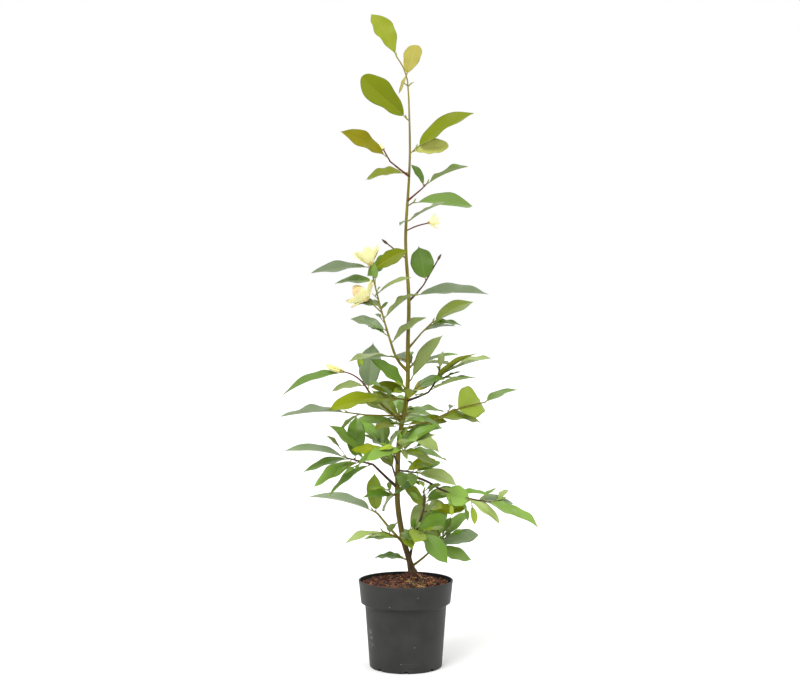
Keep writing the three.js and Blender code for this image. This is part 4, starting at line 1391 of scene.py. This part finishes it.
# Small buds: one in the crook of each side leaf, and one furry tip bud beside each end leaf.
budTints = {"green": "#7d8a3c", "brown": "#6f5230"}
greenBud, brownBud = range(len(budTints))
budLook = {"roughness": 0.7, "grain": {"scale": 1200, "stretch": (1, 1, 0.3)}, "bump": (0.5, 0.0003)}
sideBud = {"lean": (0.8, 0.6), "out": 1.3, "length": 4.5, "radius": 1.05}
tipBud = {"tilt": 24, "length": 9, "radius": 1.35}


def makeBuds():
    build = newBuild()
    onward, outward = sideBud["lean"]
    for point, forward, direction, bark in joints:
        axis = unit(forward * onward + direction * outward)
        look = greenBud if bark == "green" else brownBud
        addBud(build, point + direction * sideBud["out"], axis, sideBud["length"], sideBud["radius"], look)
    for row, stem, _ in stems:
        if row["tip"] == "leaf":
            end, forward = along(stem["path"], 1)
            axis = tipped(forward, tipBud["tilt"])
            addBud(build, end - forward, axis, tipBud["length"], tipBud["radius"], greenBud)
    materials = [grained(newMaterial(f"bud_{name}", colour, budLook["roughness"]), budLook)
                 for name, colour in budTints.items()]
    makePiece("buds", build, materials)


makeBuds()
print("blossom and buds made")


# Pot: a thin moulded shell with a stepped collar, a rolled rim and drain slots at its foot.
pot = {
    "rimRadius": 85,
    "height": 155,
    "collarFoot": 115,
    "collarFootRadius": 80.5,
    "neckHeight": 110,
    "neckRadius": 73.2,
    "footRadius": 65,
    "footCorner": 3,
    # how far out and up the wall starts above the rounded foot
    "wallFoot": (0.2, 5),
    "wall": 1.7,
    "lip": 2.6,
    "lipDepth": 3.4,
    "lipSlope": (0.6, 1),
    # how far in and down the rolled rim's lower edge lies
    "rimRoll": [(0.75, 5), (0.1, 3.6)],
    "innerRaised": 1,
    # the foot's ring, and the floor raised inside it
    "ringInner": 8,
    "ringSlope": 1,
    "floorRaised": 1.2,
    "drains": 8,
    "drainWidth": 9,
    "drainHeight": 4.5,
    "drainNarrowing": 0.72,
    # how far a drain reaches in and out from the foot's radius, and below the floor
    "drainSpan": (-9, 7),
    "drainBelow": 2,
    "facets": 160,
    "undercut": 2.4,
    "underDrop": 1.2,
    "underStep": 0.1,
    # how much each corner above the foot is rounded
    "cornerRounding": {"neck": 0.7, "under": 0.5, "collar": 0.6, "rim": 1.1, "lip": 0.9},
    "cornerSteps": 5,
    # raised pad: from and to in degrees round the pot, and in height
    "pad": (-98, -66, 9, 19),
    "padProud": 0.65,
    "padSunk": 0.3,
    "padGrid": (24, 8),
    "sharpAngle": 34,
}


# A corner of an outline, rounded off on a smooth curve.
def roundCorner(before, corner, after, radius):
    middle = np.array(corner, float)
    first, last = (middle + unit(np.subtract(other, corner)) * radius for other in (before, after))
    steps = pot["cornerSteps"]
    return [tuple((1 - t) ** 2 * first + 2 * t * (1 - t) * middle + t ** 2 * last)
            for t in (i / steps for i in range(steps + 1))]


def potProfile():
    rimRadius, height, wall, rounding = pot["rimRadius"], pot["height"], pot["wall"], pot["cornerRounding"]
    footRadius, collarFoot = pot["footRadius"], pot["collarFoot"]
    neck = (pot["neckRadius"], pot["neckHeight"])
    collar = (pot["collarFootRadius"], collarFoot)
    wallOut, wallUp = pot["wallFoot"]
    foot = (footRadius + wallOut / 2, 0)
    footUp = (footRadius + wallOut, wallUp)
    under = (collar[0] - pot["undercut"], collarFoot - pot["underDrop"])
    rim = (rimRadius, height)
    inner = rimRadius - pot["lip"]
    ring = footRadius - pot["ringInner"]
    profile = [(0, pot["floorRaised"]), (ring - pot["ringSlope"], pot["floorRaised"]), (ring, 0)]
    profile += roundCorner((0, 0), foot, footUp, pot["footCorner"])
    profile += roundCorner(footUp, neck, under, rounding["neck"])
    profile += roundCorner(neck, under, (under[0], collarFoot), rounding["under"])
    profile.append((under[0] + pot["underStep"], collarFoot))
    profile += roundCorner((0, collarFoot), collar, rim, rounding["collar"])
    profile += [(rimRadius - inward, height - down) for inward, down in pot["rimRoll"]]
    profile += roundCorner((rimRadius, 0), rim, (0, height), rounding["rim"])
    profile += roundCorner(rim, (inner, height), (inner, 0), rounding["lip"])
    slopeIn, slopeDown = pot["lipSlope"]
    profile += [(inner, height - pot["lipDepth"]),
                (rimRadius - wall - slopeIn, height - pot["lipDepth"] - slopeDown)]
    raised = pot["innerRaised"]
    for radius, low in (collar, neck, (footRadius, pot["footCorner"])):
        profile.append((radius - wall, low + raised))
    return [*profile, (0, wall + raised)]


# An outline turned about the upright axis. A point on the axis stays single.
def addTurned(build, profile, facets):
    points, faces, starts = [], [], []
    for radius, height in profile:
        starts.append(len(points))
        for k in range(facets if radius else 1):
            points.append((*around(radius, 2 * math.pi * (k + 0.5) / facets), height))
    for i in range(len(profile) - 1):
        low, high = starts[i], starts[i + 1]
        for k in range(facets):
            n = (k + 1) % facets
            if not profile[i][0]:
                faces.append((low, high + n, high + k))
            elif not profile[i + 1][0]:
                faces.append((low + k, low + n, high))
            else:
                faces.append((low + k, low + n, high + n, high + k))
    addPart(build, points, faces, 0)


def bodyRadius(height):
    wallOut, wallUp = pot["wallFoot"]
    widening = (pot["neckRadius"] - pot["footRadius"]) * (height - wallUp) / (pot["neckHeight"] - wallUp)
    return pot["footRadius"] + wallOut + widening


# A pad moulded on the wall, which stands out from it with sloped edges.
def addPad(build):
    first, last, low, high = pot["pad"]
    across, tall = pot["padGrid"]
    points = []
    for i in range(tall + 1):
        height = low + (high - low) * i / tall
        for k in range(across + 1):
            inside = 0 < i < tall and 0 < k < across
            radius = bodyRadius(height) + (pot["padProud"] if inside else -pot["padSunk"])
            points.append((*around(radius, math.radians(first + (last - first) * k / across)), height))
    addPart(build, points, gridFaces(tall + 1, across + 1), 0)


# Dark plastic, worn in patches, with a rubbed place and a few specks at places in metres.
potLook = {
    "plastic": "#2b2b2a",
    "worn": "#343432",
    "scuff": "#7d7f7b",
    "roughness": 0.5,
    "gloss": 0.14,
    "scuffAt": [(-0.0625, -0.030, 0.068), (-0.0610, -0.031, 0.057), (-0.0600, -0.0315, 0.046)],
    "scuffReach": (0.001, 0.0105),
    "specks": [(-0.0287, -0.0757, 0.1195), (0.015, -0.0668, 0.047), (-0.0087, -0.0654, 0.0173),
               (0.021, -0.0803, 0.1366)],
    "speckReach": (0.0004, 0.0011),
    # patterns, the spans over which they blend, and their most
    "patches": {"scale": 26, "detail": 4},
    "patchSpan": (0.35, 0.75),
    "scratches": {"scale": 90, "detail": 6, "stretch": (3.2, 3.2, 0.35), "rough": 0.75},
    "scratchSpan": (0.68, 0.74),
    "spread": {"scale": 17, "detail": 2},
    "spreadSpan": (0.56, 0.68),
    "spreadMost": 0.6,
    "streaks": {"scale": 260, "detail": 6, "stretch": (1, 1, 0.7), "rough": 0.75},
    "streakSpan": (0.53, 0.6),
    "streakMost": 0.85,
    "roughSpan": (0.3, 0.8),
    "roughEnds": (0.42, 0.56),
    "grain": {"scale": 700},
    "bump": (0.25, 0.0003),
}


# How near the surface is to the nearest of some places, as a share that falls off between two distances.
def nearTo(material, places, reach):
    place = objectPlace(material)
    nearest = None
    for spot in places:
        apart = addNode(material, "ShaderNodeVectorMath", {0: place}, operation="DISTANCE")
        apart.inputs[1].default_value = spot
        distance = apart.outputs["Value"]
        nearest = mathOver(material, "MINIMUM", nearest, distance) if nearest else distance
    return rangeOver(material, nearest, reach, (1, 0))


def potMaterial():
    material = newMaterial("pot_plastic", potLook["plastic"], potLook["roughness"], gloss=potLook["gloss"])
    patches = noiseOver(material, **potLook["patches"])
    base = rampOver(material, patches, potLook["patchSpan"], (potLook["plastic"], potLook["worn"]))
    scratches = noiseOver(material, **potLook["scratches"])
    where = noiseOver(material, **potLook["spread"])
    fine = rampOver(material, scratches, potLook["scratchSpan"], (0.0, 1.0))
    spread = rampOver(material, where, potLook["spreadSpan"], (0.0, potLook["spreadMost"]))
    scratched = mathOver(material, "MULTIPLY", fine, spread)
    colour = mixOver(material, scratched, base, potLook["scuff"])
    streaks = noiseOver(material, **potLook["streaks"])
    streaks = rampOver(material, streaks, potLook["streakSpan"], (0.0, potLook["streakMost"]))
    rubbed = nearTo(material, potLook["scuffAt"], potLook["scuffReach"])
    scuffed = mathOver(material, "MULTIPLY", streaks, rubbed)
    colour = mixOver(material, scuffed, colour, potLook["scuff"])
    specks = nearTo(material, potLook["specks"], potLook["speckReach"])
    feed(material, "Base Color", mixOver(material, specks, colour, potLook["scuff"]))
    feed(material, "Roughness", rampOver(material, patches, potLook["roughSpan"], potLook["roughEnds"]))
    return grained(material, potLook)


# One wedge for each drain slot, narrower at its top.
def drainWedges():
    wedges = newBuild()
    levels = ((-pot["drainBelow"], 1.0), (pot["drainHeight"], pot["drainNarrowing"]))
    faces = [(0, 1, 3, 2), (4, 6, 7, 5), (0, 4, 5, 1), (2, 3, 7, 6), (0, 2, 6, 4), (1, 5, 7, 3)]
    for i in range(pot["drains"]):
        angle = -math.pi / 2 + i * 2 * math.pi / pot["drains"]
        corners = []
        for x in (pot["footRadius"] + reach for reach in pot["drainSpan"]):
            for y in (-0.5, 0.5):
                for z, narrow in levels:
                    outX, outY = around(x, angle)
                    sideX, sideY = around(y * narrow * pot["drainWidth"], angle)
                    corners.append((outX - sideY, outY + sideX, z))
        addPart(wedges, corners, faces, 0)
    return wedges


def makePot():
    build = newBuild()
    addTurned(build, potProfile(), pot["facets"])
    addPad(build)
    piece = makePiece("pot_shell", build, [potMaterial()], ["pot"], sharpAngle=pot["sharpAngle"])
    cutter = addObject("drain_cutters", makeMesh("drain_cutters", drainWedges()))
    cut = piece.modifiers.new("drains", "BOOLEAN")
    cut.operation = "DIFFERENCE"
    cut.solver = "EXACT"
    cut.object = cutter
    bpy.context.view_layer.objects.active = piece
    bpy.ops.object.modifier_apply(modifier="drains")
    bpy.data.objects.remove(cutter)


makePot()
print("pot made")


# Compost: a bumpy bed with a mound round the trunk, under loose bark chips and straw.
compost = {
    "level": 149.2,
    "edgeLevel": 147.2,
    "edgeFall": 4,
    "radius": 81.6,
    "bottom": 100,
    "bottomRadius": 68,
    "moundReach": 30,
    "moundRise": 11.5,
    "moundFall": 1.7,
    # scale, layer and rise of the large and the small lumps
    "lumps": [(0.07, 1.3, 1.7), (0.2, 5, 0.8)],
    "rings": 46,
    "spokes": 130,
}
footX, footY = trunk["bends"][0][1:]


def patchNoise(x, y, scale, layer):
    return noise.noise(Vector((x * scale, y * scale, layer)))


def compostHeight(x, y):
    out = math.hypot(x, y) / compost["radius"]
    away = math.hypot(x - footX, y - footY) / compost["moundReach"]
    lumps = sum(patchNoise(x, y, scale, layer) * rise for scale, layer, rise in compost["lumps"])
    level = compost["level"] + (compost["edgeLevel"] - compost["level"]) * out ** compost["edgeFall"]
    return level + compost["moundRise"] * math.exp(-compost["moundFall"] * away ** 2) + lumps


compostLook = {
    "dark": "#221008",
    "earth": "#381a10",
    "red": "#642b16",
    "brown": "#8a4a24",
    "ochre": "#a06e34",
    "moss": "#585f2a",
    "roughness": 0.85,
    "grain": {"scale": 420, "detail": 4, "stretch": (1, 0.5, 1)},
    "grainSpan": (0.36, 0.6),
    "bump": (0.6, 0.0008),
}
strawLook = {"colour": "#c6a468", "roughness": 0.8, "grain": {"scale": 600, "stretch": (1, 1, 0.3)},
             "bump": (0.3, 0.0003)}


def chipMaterial(name, colour):
    material = newMaterial(name, colour, compostLook["roughness"])
    grain = noiseOver(material, **compostLook["grain"])
    blend = rampOver(material, grain, compostLook["grainSpan"], (compostLook["dark"], colour))
    feed(material, "Base Color", blend)
    addBump(material, grain, *compostLook["bump"])
    return material


# A bed of rings and spokes, closed by a wall and a floor inside the pot.
def makeBed():
    build = newBuild()
    points, faces = [(0, 0, compostHeight(0, 0))], []
    rings, spokes = compost["rings"], compost["spokes"]
    angles = [2 * math.pi * k / spokes for k in range(spokes)]
    for i in range(1, rings + 1):
        for angle in angles:
            x, y = around(compost["radius"] * i / rings, angle)
            points.append((x, y, compostHeight(x, y)))
    points += [(*around(compost["bottomRadius"], angle), compost["bottom"]) for angle in angles]
    points.append((0, 0, compost["bottom"]))
    wall = 1 + rings * spokes
    for k in range(spokes):
        n = (k + 1) % spokes
        faces.append((0, 1 + k, 1 + n))
        for i in range(rings):
            a, b = 1 + i * spokes, 1 + (i + 1) * spokes
            faces.append((a + k, b + k, b + n, a + n))
        faces.append((wall + k, len(points) - 1, wall + n))
    addPart(build, points, faces, 0)
    makePiece("compost_bed", build, [chipMaterial("compost_earth", compostLook["earth"])],
              ["compost"])


chips = {
    "count": 2300,
    "seed": 51,
    "inFromWall": 4.5,
    "scales": (0.6, 0.8, 1.0, 1.4),
    "long": (3.2, 7.5),
    "wide": (1.8, 3.8),
    "thick": (0.7, 1.6),
    "lift": (-0.3, 1.5),
    "lean": 0.45,
    "tilt": 0.3,
    "ends": (0.35, 0.9),
    "rough": 0.12,
    "sharpAngle": 20,
    "tints": ("earth", "red", "brown", "ochre", "moss"),
    "shares": (0.2, 0.45, 0.29, 0.05, 0.01),
}
# In damp hollows most chips are dark, and in a patch in front of the trunk lie moss and rotted chips.
dampPlaces = {"scale": 0.085, "layer": 8, "below": -0.08, "shares": (0.62, 0.22, 0.15, 0.01, 0.0)}
mossPatch = {"at": (22, -26), "reach": 34, "edge": (0.7, 1.1), "shares": (0.4, 0.18, 0.22, 0.1, 0.1)}


def addChip(build, place, size, chance, look):
    long, wide, thick = size
    heading = chance.uniform(0, 2 * math.pi)
    lean = chance.gauss(0, chips["lean"])
    first = np.array([math.cos(heading) * math.cos(lean), math.sin(heading) * math.cos(lean), math.sin(lean)])
    tilt = np.array([chance.gauss(0, chips["tilt"]), chance.gauss(0, chips["tilt"]), 0])
    second = unit(np.cross(up + tilt, first))
    third = np.cross(first, second)
    points = []
    corners = ((-1, -1), (1, -1), (1, 1), (-1, 1))
    for a in (-1, 0, 1):
        narrow = 1.0 if a == 0 else chance.uniform(*chips["ends"])
        for b, c in corners:
            wobble = np.array([chance.uniform(-1, 1) for _ in range(3)]) * chips["rough"] * wide
            points.append(place + first * a * long / 2 + second * b * wide / 2 * narrow
                          + third * c * thick / 2 * narrow + wobble)
    ends = [(0, 3, 2, 1), (8, 9, 10, 11)]
    addPart(build, points, ends + gridFaces(3, len(corners), closed=True), look)


def makeChips():
    build = newBuild()
    chance = random.Random(chips["seed"])
    mossX, mossY = mossPatch["at"]
    for _ in range(chips["count"]):
        radius = (compost["radius"] - chips["inFromWall"]) * math.sqrt(chance.random())
        x, y = around(radius, chance.uniform(0, 2 * math.pi))
        scale = chance.choice(chips["scales"])
        size = [chance.uniform(*chips[side]) * scale for side in ("long", "wide", "thick")]
        place = np.array([x, y, compostHeight(x, y) + chance.uniform(*chips["lift"])])
        damp = patchNoise(x, y, dampPlaces["scale"], dampPlaces["layer"]) < dampPlaces["below"]
        shares = dampPlaces["shares"] if damp else chips["shares"]
        if math.hypot(x - mossX, y - mossY) < mossPatch["reach"] * chance.uniform(*mossPatch["edge"]):
            shares = mossPatch["shares"]
        look = chance.choices(range(len(shares)), shares)[0]
        addChip(build, place, size, chance, look)
    materials = [chipMaterial(f"chip_{name}", compostLook[name]) for name in chips["tints"]]
    makePiece("bark_chips", build, materials, sharpAngle=chips["sharpAngle"])


# Straws lie bent on the chips, two in three of them on the right. The right is given in radians.
straws = {
    "count": 46,
    "seed": 77,
    "inFromWall": 14,
    "right": (-1.1, 1.1),
    "long": (8, 22),
    "bend": (-0.6, 0.6),
    "radius": (0.22, 0.45),
    "points": 6,
    "sides": 5,
    "above": 1.6,
    "wave": 0.5,
    "waveStep": 2.1,
}


def makeStraws():
    build = newBuild()
    chance = random.Random(straws["seed"])
    last = straws["points"] - 1
    for index in range(straws["count"]):
        radius = (compost["radius"] - straws["inFromWall"]) * math.sqrt(chance.random())
        angle = chance.uniform(*straws["right"]) if index % 3 else chance.uniform(0, 2 * math.pi)
        heading = chance.uniform(0, 2 * math.pi)
        long, bend = chance.uniform(*straws["long"]), chance.uniform(*straws["bend"])
        x, y = around(radius, angle)
        path = []
        for i in range(straws["points"]):
            stepX, stepY = around((i / last - 0.5) * long, heading + bend * i / last)
            above = straws["above"] + straws["wave"] * math.sin(straws["waveStep"] * i)
            path.append(np.array([x + stepX, y + stepY, compostHeight(x + stepX, y + stepY) + above]))
        radii = [chance.uniform(*straws["radius"])] * straws["points"]
        addPart(build, *tubeRings(path, radii, straws["sides"]), 0)
    material = newMaterial("straw", strawLook["colour"], strawLook["roughness"])
    makePiece("straw_bits", build, [grained(material, strawLook)])


makeBed()
makeChips()
makeStraws()
print("compost made")


# Floor and soft studio light.
studio = {
    "floor": "#ffffff",
    "floorBright": 0.76,
    "floorHalf": 40,
    "background": 1.0,
    # direction to the light, softness in degrees, strength
    "suns": [
        ((-0.55, -0.9, 1.15), 34, 2.3),
        ((0.9, -0.6, 0.8), 50, 0.8),
        ((0.1, 1.0, 1.3), 50, 0.6),
    ],
}


def makeStudio():
    half = studio["floorHalf"]
    mesh = bpy.data.meshes.new("floor")
    mesh.from_pydata([(-half, -half, 0), (half, -half, 0), (half, half, 0), (-half, half, 0)], [],
                     [(0, 1, 2, 3)])
    material = newMaterial("floor_paper", studio["floor"], 1.0, studio["floorBright"], gloss=0.0)
    mesh.materials.append(material)
    floor = addObject("floor", mesh)
    world = bpy.data.worlds.new("studio")
    world.use_nodes = True
    background = world.node_tree.nodes["Background"].inputs
    background["Color"].default_value = (1, 1, 1, 1)
    background["Strength"].default_value = studio["background"]
    bpy.context.scene.world = world
    for direction, softness, strength in studio["suns"]:
        data = bpy.data.lights.new("softbox", "SUN")
        data.angle = math.radians(softness)
        data.energy = strength
        lamp = addObject("softbox", data)
        lamp.rotation_euler = (-Vector(direction)).to_track_quat("-Z", "Y").to_euler()
    bpy.context.scene.view_settings.view_transform = "Standard"


makeStudio()
print("studio made")
